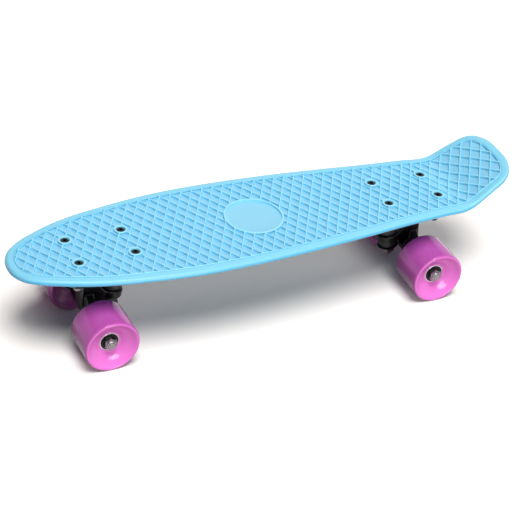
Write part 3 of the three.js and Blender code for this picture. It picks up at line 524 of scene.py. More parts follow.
# %% [markdown]
# The outline is filled and pushed down to the height of the edge. The edge is almost half round on the real
# deck, so that it is kind to the hand: the upper corner gets a wide rounding and the lower one a smaller one,
# both by bevelling the rim's edges. A profile swept round the outline would do too, but it can fold over at a
# tight corner.

# %% Raise the rim
EDGE_HEIGHT = 0.0065
SHOULDER = 0.0040
SHOULDER_STEPS = 6
LOWER_ROUND = 0.0023
LOWER_STEPS = 3
SAME_LEVEL = 1e-5


def pushed_out(bm, face, offset):
    pushed = bmesh.ops.extrude_face_region(bm, geom=[face])
    verts = [item for item in pushed["geom"] if isinstance(item, bmesh.types.BMVert)]
    bmesh.ops.translate(bm, verts=verts, vec=offset)
    bmesh.ops.recalc_face_normals(bm, faces=bm.faces)


def rim_edges(bm, height):
    return [edge for edge in bm.edges if all(abs(v.co.z - height) < SAME_PLACE for v in edge.verts)]


def raised_rim():
    bm = outline_face()
    pushed_out(bm, bm.faces[:][0], (0, 0, -EDGE_HEIGHT))
    for height, radius, steps in ((0, SHOULDER, SHOULDER_STEPS), (-EDGE_HEIGHT, LOWER_ROUND, LOWER_STEPS)):
        bmesh.ops.bevel(
            bm, geom=rim_edges(bm, height), offset=radius, offset_type="OFFSET", segments=steps, profile=0.5,
            affect="EDGES", material=-1,
        )
    return bm


def widest_face(bm, height):
    level = [face for face in bm.faces if abs(face.calc_center_median().z - height) < SAME_LEVEL]
    return max(level, key=lambda face: face.calc_area())


# %% [markdown]
# On top, the smooth band ends at a fine groove, and behind it stands a thin raised border. Loops of edges
# could be cut in and moved, but insets keep an even width on a curved outline. They step the top face in,
# down and up the groove's sides and up the border's wall. A step is a width and a rise. What is left inside
# lies at the height of the ribs' tops.

# %% Step in to the field
BAND_WIDTH = 0.0092
GROOVE_STEPS = [(0.00060, -0.00070), (0.00025, 0.00010), (0.00015, 0.00060)]
CREST_RISE = 0.0007
BORDER_STEPS = [(0.00010, 0.00040), (0.00015, 0.00020), (0.00020, 0.00010)]


def step_in(bm, face, width, rise):
    bmesh.ops.inset_region(bm, faces=[face], thickness=width, depth=0, use_even_offset=True)
    bmesh.ops.translate(bm, verts=face.verts[:], vec=(0, 0, rise))
    return face


def stepped_top(bm):
    face = widest_face(bm, 0)
    groove_width = sum(width for width, rise in GROOVE_STEPS)
    step_in(bm, face, BAND_WIDTH - SHOULDER - groove_width, 0)
    for width, rise in GROOVE_STEPS + BORDER_STEPS:
        step_in(bm, face, width, rise)
    return face


# %% [markdown]
# The waffle is two families of thin straight ribs that cross at 60 degrees. Insets on the cells between the
# ribs would make it, but they fail on the small, sharp cells along the border. A mould maker mills the
# hollows instead, so here a stamp of the whole field is made, long bars with the ribs' section are taken out
# of it, and what is left of the stamp is pressed into the deck. Both start from one section: half a width at
# each height, with a rounded crest, a wall that leans a little and a fillet at the floor.

# %% Make the stamp and the bars
RIB_ANGLE = math.radians(60)
RIB_SPACING = 0.01232
CROSSING_X = 0.0049
RIB_SECTION = [
    (0.00112, -0.00170), (0.00090, -0.00162), (0.00078, -0.00140), (0.00062, 0.00040), (0.00052, 0.00060),
    (0.00030, 0.00070),
]
CREST_WIDTH = 0.0018
BAR_LENGTH = 0.2
OVERRUN = 0.003


def field_stamp(field):
    bm = bmesh.new()
    face = bm.faces.new([bm.verts.new(v.co) for v in field.verts])
    step_in(bm, face, CREST_WIDTH, 0)
    bmesh.ops.delete(bm, geom=[f for f in bm.faces if f is not face], context="FACES")
    pushed_out(bm, face, (0, 0, OVERRUN))
    face = widest_face(bm, CREST_RISE)
    for (low_half, low), (half, height) in reversed(list(zip(RIB_SECTION, RIB_SECTION[1:]))):
        step_in(bm, face, low_half - half, low - height)
    return bm


def rib_bars(angle):
    bm = bmesh.new()
    lowest, highest = RIB_SECTION[0], RIB_SECTION[-1]
    below = (lowest[0], lowest[1] - OVERRUN)
    above = (highest[0], highest[1] + 2 * OVERRUN)
    section = [below, *RIB_SECTION, above]
    right = [bm.verts.new((-BAR_LENGTH / 2, half, height)) for half, height in section]
    left = [bm.verts.new((-BAR_LENGTH / 2, -half, height)) for half, height in reversed(section)]
    pushed_out(bm, bm.faces.new(right + left), (BAR_LENGTH, 0, 0))
    bmesh.ops.rotate(bm, verts=bm.verts, cent=(0, 0, 0), matrix=Matrix.Rotation(angle, 3, "Z"))
    bar = bm.verts[:] + bm.edges[:] + bm.faces[:]
    count = int(deck_length / RIB_SPACING / 2)
    bmesh.ops.translate(bm, verts=bm.verts, vec=(CROSSING_X - count * RIB_SPACING, 0, 0))
    for i in range(1, 2 * count):
        copy = bmesh.ops.duplicate(bm, geom=bar)
        verts = [item for item in copy["geom"] if isinstance(item, bmesh.types.BMVert)]
        bmesh.ops.translate(bm, verts=verts, vec=(i * RIB_SPACING, 0, 0))
    return bm


def press_waffle(bm, field):
    stamp = field_stamp(field)
    for angle in (-RIB_ANGLE, RIB_ANGLE):
        cut(stamp, rib_bars(angle))
    print("stamp faces:", len(stamp.faces))
    return cut(bm, stamp)


# %% [markdown]
# Under the plate a lip runs round the edge, and behind it the underside slopes up to the plate. Between the
# truck pads, ribs along and across the board stiffen it. The lip and the slope are insets again. A rib is a
# plain block that is joined to the plate, because its root needs no fillet where nobody sees it.

# %% Hollow the underside
LIP_WIDTH = 0.007
SLOPE_WIDTH = 0.003
PLATE_THICKNESS = 0.0046


def hollow_under(bm):
    face = widest_face(bm, -EDGE_HEIGHT)
    step_in(bm, face, LIP_WIDTH - LOWER_ROUND, 0)
    step_in(bm, face, SLOPE_WIDTH, EDGE_HEIGHT - PLATE_THICKNESS)


# %% A block with a rounded foot
RIB_ROUNDING = 0.0006
FOOT_STEPS = 2
CORNER_STEPS = 8


def block(low, high, corner=0, rounding=RIB_ROUNDING):
    bm = bmesh.new()
    size = Vector(high) - Vector(low)
    place = Matrix.Translation((Vector(low) + Vector(high)) / 2) @ Matrix.Diagonal((*size, 1))
    bmesh.ops.create_cube(bm, size=1, matrix=place)
    if corner:
        upright = [e for e in bm.edges if abs(e.verts[0].co.z - e.verts[1].co.z) > SAME_PLACE]
        bmesh.ops.bevel(
            bm, geom=upright, offset=corner, segments=CORNER_STEPS, profile=0.5, affect="EDGES", material=-1
        )
    foot = [e for e in bm.edges if all(abs(v.co.z - low[2]) < SAME_PLACE for v in e.verts)]
    bmesh.ops.bevel(
        bm, geom=foot, offset=rounding, segments=FOOT_STEPS, profile=0.5, affect="EDGES", material=-1
    )
    return bm


# %% [markdown]
# ## The bend
# Seen from the side the deck is nearly straight, dips a little at the nose and kicks up at the tail. A
# lattice or a curve modifier could bend it. A height read from a smooth line through a few points is exact
# and keeps every upright wall upright. Each of those points is a share of the length and a share of the
# kick's rise. The mesh is first sliced across, finely at the kick, so that long faces can follow the bend.

# %% Bend along the board
TOP_ABOVE_LOWEST = 0.0217
KICK_RISE = 0.0315
CAMBER_SHARES = [
    (0, -0.105), (0.05, -0.048), (0.14, -0.006), (0.5, 0.02), (0.8365, -0.022), (0.88, -0.062), (0.902, 0.02),
    (0.925, 0.26), (0.95, 0.53), (0.975, 0.78), (1, 0.99),
]
BEND_STEP = 0.012
KICK_STEP = 0.003
KICK_SHARE = 0.86

deck_top = deck_low.z + TOP_ABOVE_LOWEST
camber = [(deck_low.x + along * deck_length, deck_top + up * KICK_RISE) for along, up in CAMBER_SHARES]
print("deck top:", round(deck_top, 4), "m above the ground")


def height_along(points, x):
    before = sum(1 for point in points[1:-1] if point[0] < x)

    def slope(i):
        first, last = points[max(i - 1, 0)], points[min(i + 1, len(points) - 1)]
        return (last[1] - first[1]) / (last[0] - first[0])

    (x0, y0), (x1, y1) = points[before], points[before + 1]
    span = x1 - x0
    t = (x - x0) / span
    bend = t * (1 - t) * span * ((1 - t) * slope(before) - t * slope(before + 1))
    return y0 + (y1 - y0) * t * t * (3 - 2 * t) + bend


def bent(bm):
    bmesh.ops.triangulate(bm, faces=bm.faces)
    kick_start = deck_low.x + KICK_SHARE * deck_length
    x = deck_low.x + BEND_STEP
    while x < deck_high.x:
        geometry = bm.verts[:] + bm.edges[:] + bm.faces[:]
        bmesh.ops.bisect_plane(bm, geom=geometry, dist=SAME_PLACE, plane_co=(x, 0, 0), plane_no=(1, 0, 0))
        x += BEND_STEP if x < kick_start else KICK_STEP
    for vertex in bm.verts:
        vertex.co.z += height_along(camber, vertex.co.x)
    return bm


# %% [markdown]
# The bolts, the pads and the badge's seat are placed from the solids: a bolt ring lies round its bolt, and a
# pad over its baseplate. Typing their places in again would be quicker, but they would stay behind if a truck
# moved.

# %% Find the places on the deck
ENDS = ("front", "rear")
PAD_LENGTH = 0.094
PAD_WIDTH = 0.066
BADGE_SHIFT = 0.0044

bolt_nodes = [f"{end}_deck_bolt_{i}" for end in ENDS for i in range(1, 5)]


def middle(node):
    low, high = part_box(node)
    return (low + high) / 2


pad_middles = {end: middle(end + "_baseplate").x for end in ENDS}
badge_x = sum(pad_middles.values()) / 2 - BADGE_SHIFT
print("pads at", {end: round(x, 4) for end, x in pad_middles.items()}, "badge at", round(badge_x, 4))

# %% Stiffen the underside
STIFFENER_WIDTH = 0.003
STIFFENER_DROP = 0.003
LONG_SPACING = 0.024
CROSS_SPACING = 0.032


def room_at(x):
    return height_along(outline_line, x) - LIP_WIDTH - SLOPE_WIDTH


def spread(width, spacing):
    count = int(width / spacing) + 1
    return [(i - (count - 1) / 2) * spacing for i in range(count)]


def add_stiffeners(bm):
    start = pad_middles["front"] + PAD_LENGTH / 2
    end = pad_middles["rear"] - PAD_LENGTH / 2
    low, high = -EDGE_HEIGHT - STIFFENER_DROP, -PLATE_THICKNESS / 2
    half = STIFFENER_WIDTH / 2
    for y in spread(2 * room_at(end), LONG_SPACING):
        joined(bm, block((start - half, y - half, low), (end + half, y + half, high)))
    for along in spread(end - start, CROSS_SPACING):
        x = (start + end) / 2 + along
        joined(bm, block((x - half, -room_at(x), low), (x + half, room_at(x), high)))


# %% [markdown]
# A raised ring surrounds each bolt, and a wide one the round seat where a badge goes. Each is a low turned
# disc that is joined to the flat deck, and the seat is a second disc cut out of the wide one. Ring edges
# could be extruded from the deck's own faces, but the waffle leaves none of the right shape there.

# %% Rings and the badge's seat
RING_RADIUS = 0.0074
RING_ROUNDING = 0.0004
BADGE_RADIUS = 0.0306
BADGE_RING = 0.0018
BADGE_DEPTH = 0.0019
SEAT_ROUNDING = 0.0003


def rounded_disc(radius, low, high, steps):
    return turned([(0, low, 0), (radius, low, 0), (radius, high, RING_ROUNDING), (0, high, 0)], steps)


def moved(bm, *place):
    bmesh.ops.translate(bm, verts=bm.verts, vec=place)
    return bm


def add_top_rings(bm):
    low = -PLATE_THICKNESS / 2
    for node in bolt_nodes:
        place = middle(node)
        joined(bm, moved(rounded_disc(RING_RADIUS, low, CREST_RISE, SMALL_STEPS), place.x, place.y, 0))
    joined(bm, moved(rounded_disc(BADGE_RADIUS + BADGE_RING, low, CREST_RISE, FINE_STEPS), badge_x, 0, 0))


def cut_badge_seat(bm):
    floor = CREST_RISE - BADGE_DEPTH
    seat = turned([
        (0, floor, 0), (BADGE_RADIUS - RING_ROUNDING, floor, SEAT_ROUNDING), (BADGE_RADIUS, OVERRUN, 0),
        (0, OVERRUN, 0),
    ], FINE_STEPS)
    cut(bm, moved(seat, badge_x, 0, 0))


# %% [markdown]
# The pads stay flat under the bent deck, because the baseplates are flat, so they are joined after the bend.
# The bolt holes run through both, and open towards the top to take the bolts' conical heads.

# %% Pads and bolt holes
PAD_CORNER = 0.009
PAD_ROUNDING = 0.0015
BOLT_HOLE = 0.0027
COUNTERSINK = 0.0030
HEAD_PLAY = 0.0007


def add_pads(bm):
    for end, x in pad_middles.items():
        top = height_along(camber, x) - PLATE_THICKNESS / 2
        low = (x - PAD_LENGTH / 2, -PAD_WIDTH / 2, deck_low.z)
        joined(bm, block(low, (x + PAD_LENGTH / 2, PAD_WIDTH / 2, top), PAD_CORNER, PAD_ROUNDING))


def drill_bolt_holes(bm):
    bottom = deck_low.z - OVERRUN
    for node in bolt_nodes:
        place = middle(node)
        _, high, radius = reach(node, Matrix.Translation(place))
        top = place.z + high
        mouth = radius + HEAD_PLAY
        hole = turned([
            (0, bottom, 0), (BOLT_HOLE, bottom, 0), (BOLT_HOLE, top - COUNTERSINK, 0), (mouth, top, 0),
            (mouth, top + OVERRUN, 0), (0, top + OVERRUN, 0),
        ], SMALL_STEPS)
        cut(bm, moved(hole, place.x, place.y, 0))


# %% [markdown]
# Last, every point keeps its height above the hollows' floor as the measure for the deck's painted highlight,
# sheen and shade: 0.5 at the floor and 1 on the crests. The Booleans leave long thin triangles, whose shading
# would bend the light on flat faces. A weighted normal modifier lets the large faces decide, so that flat stays
# flat.

# %% Make the deck
DECK_SMOOTH = math.radians(45)


def mark_relief(bm):
    floor = RIB_SECTION[0][1]
    layer = bm.verts.layers.float.new("relief")
    for vertex in bm.verts:
        above_floor = vertex.co.z - height_along(camber, vertex.co.x) - floor
        vertex[layer] = 0.5 + 0.5 * above_floor / (CREST_RISE - floor)


def make_deck():
    bm = raised_rim()
    press_waffle(bm, stepped_top(bm))
    hollow_under(bm)
    add_stiffeners(bm)
    add_top_rings(bm)
    cut_badge_seat(bm)
    bent(bm)
    add_pads(bm)
    drill_bolt_holes(bm)
    mark_relief(bm)
    print("deck faces:", len(bm.faces))
    return bm


deck_piece = add_piece("deck_moulding", make_deck(), Matrix(), "deck", smooth_angle=DECK_SMOOTH)
even_faces = deck_piece.modifiers.new("even_faces", "WEIGHTED_NORMAL")
even_faces.keep_sharp = True

# %% [markdown]
# ## Wheels
# A wheel is one casting of urethane on a core that the two bearings are pressed into. Its face is a smooth
# dish with a narrow lip, and the lip is sharper outside than inside. A cylinder with a bevel would miss the
# dish, so the whole section is one closed profile, turned about the axle. Half of it is drawn once, and used
# again on the other side with the inner lip.

# %% Find the axles
SIDES = ("left", "right")


def axle_place(end, side):
    outwards = math.pi / 2 if middle(f"{end}_{side}_wheel").y < 0 else -math.pi / 2
    return Matrix.Translation(middle(f"{end}_{side}_wheel")) @ Matrix.Rotation(outwards, 4, "X")


wheel_places = {(end, side): axle_place(end, side) for end in ENDS for side in SIDES}

# %% Turn the wheels
HUB_BORE = 0.0086
BEARING_PLAY = 0.00005
SEAT_CORNER = 0.0003
HUB_LIP = 0.0016
HUB_LIP_CORNER = 0.0005
DISH_BENDS = [(0.0158, 0.0026), (0.0226, 0.0058)]
DISH_ROUNDING = 0.003
RIM_FLAT = 0.0018
RIM_CORNER = 0.0005
LIP_CORNER = 0.0009
OUTER_LIP = (0.0011, 0.0014)
INNER_LIP = (0.0022, 0.0026)


def wheel_half(radius, half, bearing, lip, side):
    bearing_radius, face, step = bearing
    lip_radius, lip_width = lip
    points = [
        (HUB_BORE, step, SEAT_CORNER), (bearing_radius, step, 0), (bearing_radius, face, SEAT_CORNER),
        (bearing_radius + HUB_LIP, face, HUB_LIP_CORNER),
        *[(bend_radius, face + rise, DISH_ROUNDING) for bend_radius, rise in DISH_BENDS],
        (radius - lip_radius - RIM_FLAT, half, LIP_CORNER), (radius - lip_radius, half, RIM_CORNER),
        (radius, half - lip_width, LIP_CORNER),
    ]
    return [(r, side * h, rounding) for r, h, rounding in points]


def make_wheel(node, place):
    _, half, _ = reach(node, place)
    step, face, bearing_radius = reach(node.replace("wheel", "outer_bearing"), place)
    low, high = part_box(node)
    seat = (bearing_radius + BEARING_PLAY, face, step)
    inner = wheel_half((high.z - low.z) / 2, half, seat, INNER_LIP, -1)
    outer = wheel_half((high.z - low.z) / 2, half, seat, OUTER_LIP, 1)
    return turned([*inner, *reversed(outer), inner[0]], FINE_STEPS)


for (end, side), place in wheel_places.items():
    node = f"{end}_{side}_wheel"
    add_piece(node + "_casting", make_wheel(node, place), place, node)
print("wheels:", len(wheel_places))

# %% [markdown]
# ## Bearings
# A bearing shows two polished rings and the dark seal between them. One turned piece with two materials would
# need its faces sorted by radius. The seal is its own piece here, so that it has its own finish, and it stops
# a little short of the rings and below their faces. The balls are hidden and left out.

# %% Turn the bearings
RING_FACE = 0.0012
CORE_FACE = 0.0013
SEAL_DEPTH = 0.00035
SEAL_PLAY = 0.0001
AXLE_PLAY = 0.0001
FACE_CORNER = 0.0001
BACK_BORE_CORNER = 0.0002
BACK_CORNER = 0.0003
OUTSIDE_CORNER = 0.0004


def make_bearing(low, high, radius, bore, outwards):
    face = high if outwards > 0 else low
    back = low if outwards > 0 else high
    depth = face - outwards * 2 * SEAL_DEPTH
    return turned([
        (bore, back, BACK_BORE_CORNER), (radius, back, BACK_CORNER), (radius, face, OUTSIDE_CORNER),
        (radius - RING_FACE, face, FACE_CORNER), (radius - RING_FACE, depth, 0), (bore + CORE_FACE, depth, 0),
        (bore + CORE_FACE, face, FACE_CORNER), (bore, face, BACK_CORNER), (bore, back, 0),
    ])


def make_seal(low, high, radius, bore, outwards):
    face = high if outwards > 0 else low
    top = face - outwards * SEAL_DEPTH
    bottom = face - outwards * (2 * SEAL_DEPTH - SEAL_PLAY)
    inner = bore + CORE_FACE + SEAL_PLAY
    outer = radius - RING_FACE - SEAL_PLAY
    return turned([
        (inner, bottom, 0), (outer, bottom, 0), (outer, top, FACE_CORNER), (inner, top, FACE_CORNER),
        (inner, bottom, 0),
    ])


# %% Press in the bearings
def add_bearings(end, side, place):
    bore = reach(f"{end}_axle", place)[2] + AXLE_PLAY
    for which, outwards in (("outer", 1), ("inner", -1)):
        node = f"{end}_{side}_{which}_bearing"
        low, high, radius = reach(node, place)
        add_piece(node + "_rings", make_bearing(low, high, radius, bore, outwards), place, node)
        seal = add_mesh(node + "_seal", make_seal(low, high, radius, bore, outwards), place, "cup_plastic")
        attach(seal, body_of[node])


for (end, side), place in wheel_places.items():
    add_bearings(end, side, place)

# %% [markdown]
# ## Nuts and washers
# A nut is a six-sided prism whose corners are cut back by a cone. Bevelling six corners gives flats, not the
# round bite of the real one, so the prism is intersected with a turned disc. The lock nuts end in a round
# collar that holds a nylon ring. The solids give a hexagon's reach over its corners, and the flats are nearer
# by a fixed share.

# %% Make a hexagon
HEX_SIDES = 6
FLAT_SHARE = math.cos(math.pi / HEX_SIDES)
NUT_CHAMFER = 0.14
CROWN_SHARE = 0.97


def across_flats(corner_radius):
    return 2 * corner_radius * FLAT_SHARE


def hex_prism(across, low, high):
    bm = bmesh.new()
    radius = across / 2 / FLAT_SHARE
    bmesh.ops.create_cone(
        bm, cap_ends=True, segments=HEX_SIDES, radius1=radius, radius2=radius, depth=high - low,
        matrix=Matrix.Translation((0, 0, (low + high) / 2)),
    )
    return bm


def hexagon(across, low, high):
    radius = across / 2 / FLAT_SHARE
    bite = radius * NUT_CHAMFER
    crown = across / 2 * CROWN_SHARE
    disc = turned([
        (0, low, 0), (crown, low, 0), (radius, low + bite, 0), (radius, high - bite, 0), (crown, high, 0),
        (0, high, 0),
    ], NUT_STEPS)
    return combined(hex_prism(across, low, high), disc, "INTERSECT")


# %% Make a nut
COLLAR_HEIGHT = 0.24
COLLAR_WIDTH = 0.9
COLLAR_ROUNDING = 0.8


def make_nut(across, low, high, bore, collar):
    span = (high - low) * COLLAR_HEIGHT
    top = high - span if collar > 0 else high
    bottom = low + span if collar < 0 else low
    nut = hexagon(across, bottom, top)
    outer = across / 2 * COLLAR_WIDTH
    end = high if collar > 0 else low
    start = (bottom + top) / 2
    rounding = span * COLLAR_ROUNDING
    joined(nut, turned([(0, start, 0), (outer, start, 0), (outer, end, rounding), (0, end, 0)], NUT_STEPS))
    below, above = low - OVERRUN, high + OVERRUN
    return cut(nut, turned([(0, below, 0), (bore, below, 0), (bore, above, 0), (0, above, 0)], SMALL_STEPS))


# %% Washers and nuts on the axles
WASHER_CORNER = 0.0002
WASHER_BORE_CORNER = 0.0001


def make_washer(low, high, radius, bore):
    return turned([
        (bore, low, WASHER_BORE_CORNER), (radius, low, WASHER_CORNER), (radius, high, WASHER_CORNER),
        (bore, high, WASHER_BORE_CORNER), (bore, low, 0),
    ])


def add_axle_hardware(end, side, place):
    bore = reach(f"{end}_axle", place)[2] + AXLE_PLAY
    washer, nut = f"{end}_{side}_speed_washer", f"{end}_{side}_axle_nut"
    low, high, radius = reach(washer, place)
    add_piece(washer + "_ring", make_washer(low, high, radius, bore), place, washer)
    low, high, radius = reach(nut, place)
    add_piece(nut + "_body", make_nut(across_flats(radius), low, high, bore, collar=1), place, nut)
    print(nut, round(across_flats(radius), 4), "m across the flats")


for (end, side), place in wheel_places.items():
    add_axle_hardware(end, side, place)

# %% [markdown]
# ## Axles
# An axle is one steel rod with a thread cut on each end, and the last turns of the thread show past the nut.
# A real thread is a helix, which a screw modifier can make. Plain grooves side by side look the same at this
# size, and they are part of the rod's own profile.

# %% Turn the axles
THREAD_PITCH = 0.0011
THREAD_DEPTH = 0.0003
THREAD_TURNS = 7
THREAD_CORNER = 0.0001
END_CHAMFER = 0.0006
END_CORNER = 0.0002


def make_axle(half, radius):
    thread = []
    for i in range(THREAD_TURNS):
        height = half - END_CHAMFER - i * THREAD_PITCH
        thread += [(radius, height, THREAD_CORNER), (radius - THREAD_DEPTH, height - THREAD_PITCH / 2, 0)]
    side = [
        (0, half, 0), (radius - END_CHAMFER, half, END_CORNER), *thread,
        (radius, thread[-1][1] - THREAD_PITCH, 0),
    ]
    return turned(side + [(r, -h, rounding) for r, h, rounding in reversed(side)], NUT_STEPS)


for end in ENDS:
    node = end + "_axle"
    place = Matrix.Translation(middle(node)) @ Matrix.Rotation(math.pi / 2, 4, "X")
    _, half, radius = reach(node, place)
    add_piece(node + "_rod", make_axle(half, radius), place, node)
    print(node, round(2 * half, 4), "m long")

# %% [markdown]
# ## The bushing stacks
# Each truck turns on a kingpin that leans inwards. Two urethane bushings sit on it, above and below the
# hanger's ring, each between the ring and a dished washer. Everything on a kingpin shares its leaning axis,
# so one place for each end is enough. The hanger's nose turns in the pivot cup, on the axis that the truck
# leans about.

# %% Find the leaning axes
KINGPIN_LEAN = math.radians(10)


def along_axis(point, direction):
    return Matrix.Translation(point) @ direction.to_track_quat("Z", "Y").to_matrix().to_4x4()


kingpin_places = {}
steering_places = {}
for end, inwards in (("front", 1), ("rear", -1)):
    lean = joints[end + "_truck_lean"]
    ring = Vector(lean["pos_m"])
    up_kingpin = Vector((inwards * math.sin(KINGPIN_LEAN), 0, math.cos(KINGPIN_LEAN)))
    kingpin_places[end] = along_axis(ring, up_kingpin)
    steering_places[end] = along_axis(ring, -Vector(lean["axis"]))
    print(end, "ring at", tuple(round(x, 4) for x in ring))

# %% [markdown]
# A bushing is a short barrel that swells in the middle under its load. Urethane squeezes when the truck
# leans. A rigid bushing that rides on the board or on the truck would cut through the ring or the washer at a
# lean, so here a bushing rides on neither body and stays where it is made.

# %% Turn the bushings
BARREL_BULGE = 0.0008
BARREL_CORNER = 0.0008
BELLY_ROUNDING = 0.002
BORE_CORNER = 0.0003


def make_bushing(low, high, radius, bore):
    end_radius = radius - BARREL_BULGE
    belly = (low + high) / 2
    return turned([
        (bore, low, BORE_CORNER), (end_radius, low, BARREL_CORNER), (radius, belly, BELLY_ROUNDING),
        (end_radius, high, BARREL_CORNER), (bore, high, BORE_CORNER), (bore, low, 0),
    ], NUT_STEPS)


def add_bushing(end, which, bore):
    place = kingpin_places[end]
    node = f"{end}_{which}_bushing"
    low, high, radius = reach(node, place)
    piece = add_mesh(node + "_barrel", make_bushing(low, high, radius, bore), place, slot_of[node])
    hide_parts(node)
    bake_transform(piece)


# %% [markdown]
# A cup washer is stamped from sheet steel: a flat floor round the kingpin and a rim that stands up round the
# bushing. The wall could come from a Solidify modifier on one curved sheet. Drawing both sides of the sheet
# in the profile gives the rim its own edge in one go.

# %% Stamp the cup washers
WALL_SHARE = 0.45
FLOOR_SHARE = 0.8
INSIDE_SHARE = 0.78
RIM_DROP = 0.2
RIM_WIDTH = 0.0004
RIM_OUTER_CORNER = 0.0003
RIM_INNER_CORNER = 0.0002
DISH_CORNER = 0.0006


def make_cup_washer(low, high, radius, bore, opens):
    floor, rim = (low, high) if opens > 0 else (high, low)
    wall = (rim - floor) * WALL_SHARE
    return turned([
        (bore, floor, 0), (radius * FLOOR_SHARE, floor, DISH_CORNER),
        (radius, rim - wall * RIM_DROP, RIM_OUTER_CORNER), (radius - RIM_WIDTH, rim, RIM_INNER_CORNER),
        (radius * INSIDE_SHARE, floor + wall, DISH_CORNER), (bore, floor + wall, 0), (bore, floor, 0),
    ], NUT_STEPS)


def add_cup_washer(end, which, opens, bore):
    place = kingpin_places[end]
    node = f"{end}_{which}_cup_washer"
    low, high, radius = reach(node, place)
    add_piece(node + "_dish", make_cup_washer(low, high, radius, bore, opens), place, node)


# %% [markdown]
# The kingpin is a bolt whose hexagon head is caught in the baseplate, and its lock nut presses the stack
# together. The pivot cup is a plastic sleeve with a hollow for the ball of the hanger's nose. Its hollow is a
# list of radius, height above the mouth and rounding.

# %% Turn the kingpins and pivot cups
KINGPIN_RADIUS = 0.00475
KINGPIN_PLAY = 0.0001
KINGPIN_HEAD = 0.005
SHANK_IN_HEAD = 0.002
KINGPIN_CORNER = 0.0006
CUP_CORNER = 0.0006
CUP_MOUTH_CORNER = 0.0008
CUP_HOLLOW = [
    (0.0055, 0, 0.0006), (0.0055, 0.0035, 0), (0.0048, 0.0062, 0.001), (0.0027, 0.0083, 0.001), (0, 0.009, 0),
]


def add_kingpin(end, bore):
    place = kingpin_places[end]
    node = end + "_kingpin_nut"
    low, high, radius = reach(node, place)
    add_piece(node + "_body", make_nut(across_flats(radius), low, high, bore, collar=-1), place, node)
    node = end + "_kingpin"
    low, high, radius = reach(node, place)
    head = high - KINGPIN_HEAD
    top = head + SHANK_IN_HEAD
    pin = hexagon(across_flats(radius), head, high)
    shank = [(0, low, 0), (KINGPIN_RADIUS, low, KINGPIN_CORNER), (KINGPIN_RADIUS, top, 0), (0, top, 0)]
    add_piece(node + "_bolt", joined(pin, turned(shank, SMALL_STEPS)), place, node)


def add_pivot_cup(end):
    place = steering_places[end]
    node = end + "_pivot_cup"
    low, high, radius = reach(node, place)
    outside = [(0, high, 0), (radius, high, CUP_CORNER), (radius, low, CUP_MOUTH_CORNER)]
    hollow = [(inner, low + above, rounding) for inner, above, rounding in CUP_HOLLOW]
    add_piece(node + "_sleeve", turned(outside + hollow, SMALL_STEPS), place, node)


# %% Stack both ends
def add_stack(end):
    bore = KINGPIN_RADIUS + KINGPIN_PLAY
    for which, opens in (("boardside", -1), ("roadside", 1)):
        add_bushing(end, which, bore)
        add_cup_washer(end, which, opens, bore)
    add_kingpin(end, bore)
    add_pivot_cup(end)


for end in ENDS:
    add_stack(end)
print("stacks:", len(kingpin_places))

# %% [markdown]
# ## Castings
# The hangers and baseplates are sand or die castings: their edges are soft and where two forms meet there is
# a fillet. Bevelling each joint edge of such a shape is slow to get right. A voxel remesh turns a copy of the
# solid into an even skin, and smoothing that skin a few times melts the edges and fills the corners.

# %% Cast a copy of a solid
CAST_VOXEL = 0.0009
CAST_MELT = 0.5
CAST_ROUNDS = 5
CAST_SMOOTH = math.radians(70)


def cast_copy(node):
    bm = bmesh.new()
    bm.from_mesh(nodes[node].data)
    bmesh.ops.remove_doubles(bm, verts=bm.verts, dist=SAME_PLACE)
    body = lend(bm, "cast")
    skin = body.modifiers.new("skin", "REMESH")
    skin.mode = "VOXEL"
    skin.voxel_size = CAST_VOXEL
    melt = body.modifiers.new("melt", "SMOOTH")
    melt.factor = CAST_MELT
    melt.iterations = CAST_ROUNDS
    result = body.evaluated_get(bpy.context.evaluated_depsgraph_get()).to_mesh()
    bm.clear()
    bm.from_mesh(result)
    bpy.data.objects.remove(body)
    return bm


for end in ENDS:
    for name in ("baseplate", "hanger"):
        node = f"{end}_{name}"
        casting = cast_copy(node)
        print(node, "skin faces:", len(casting.faces))
        add_piece(node + "_casting", casting, Matrix(), node, smooth_angle=CAST_SMOOTH)

# %% [markdown]
# ## Deck bolts
# Eight countersunk bolts with hexagon sockets hold the trucks, and their lock nuts sit under the baseplates.
# A bolt's head sinks a little below the deck's ring, and its dark socket is what one sees of it. The socket
# is a real hollow, a prism cut out of the turned bolt, because a dark patch of colour would not shade from
# the side.

# %% Make the deck bolts
SOCKET_ACROSS = 0.0042
SOCKET_DEPTH = 0.0022
BOLT_RADIUS = 0.0024
BOLT_CORNER = 0.0004
HEAD_HEIGHT = 0.0024
HEAD_SUNK = 0.0005
HEAD_EASE = 0.0005
HEAD_RIM = 0.0002
HEAD_BEVEL = 0.0003
HEAD_CORNER = 0.0001


def make_deck_bolt(low, high, radius):
    top = high - HEAD_SUNK
    head = radius - HEAD_EASE
    bolt = turned([
        (0, low, 0), (BOLT_RADIUS, low, BOLT_CORNER), (BOLT_RADIUS, top - HEAD_HEIGHT, BOLT_CORNER),
        (head, top - HEAD_RIM, HEAD_CORNER), (head - HEAD_BEVEL, top, HEAD_CORNER), (0, top, 0),
    ], SMALL_STEPS)
    return cut(bolt, hex_prism(SOCKET_ACROSS, top - SOCKET_DEPTH, top + SOCKET_DEPTH))


for node in bolt_nodes:
    centre = middle(node)
    place = Matrix.Translation((centre.x, centre.y, 0))
    low, high, radius = reach(node, place)
    add_piece(node + "_screw", make_deck_bolt(low, high, radius), place, node)
    nut = node.replace("bolt", "lock_nut")
    low, high, radius = reach(nut, place)
    body = make_nut(across_flats(radius), low, high, BOLT_RADIUS + AXLE_PLAY, collar=-1)
    add_piece(nut + "_body", body, place, nut)
print("deck bolts:", len(bolt_nodes))

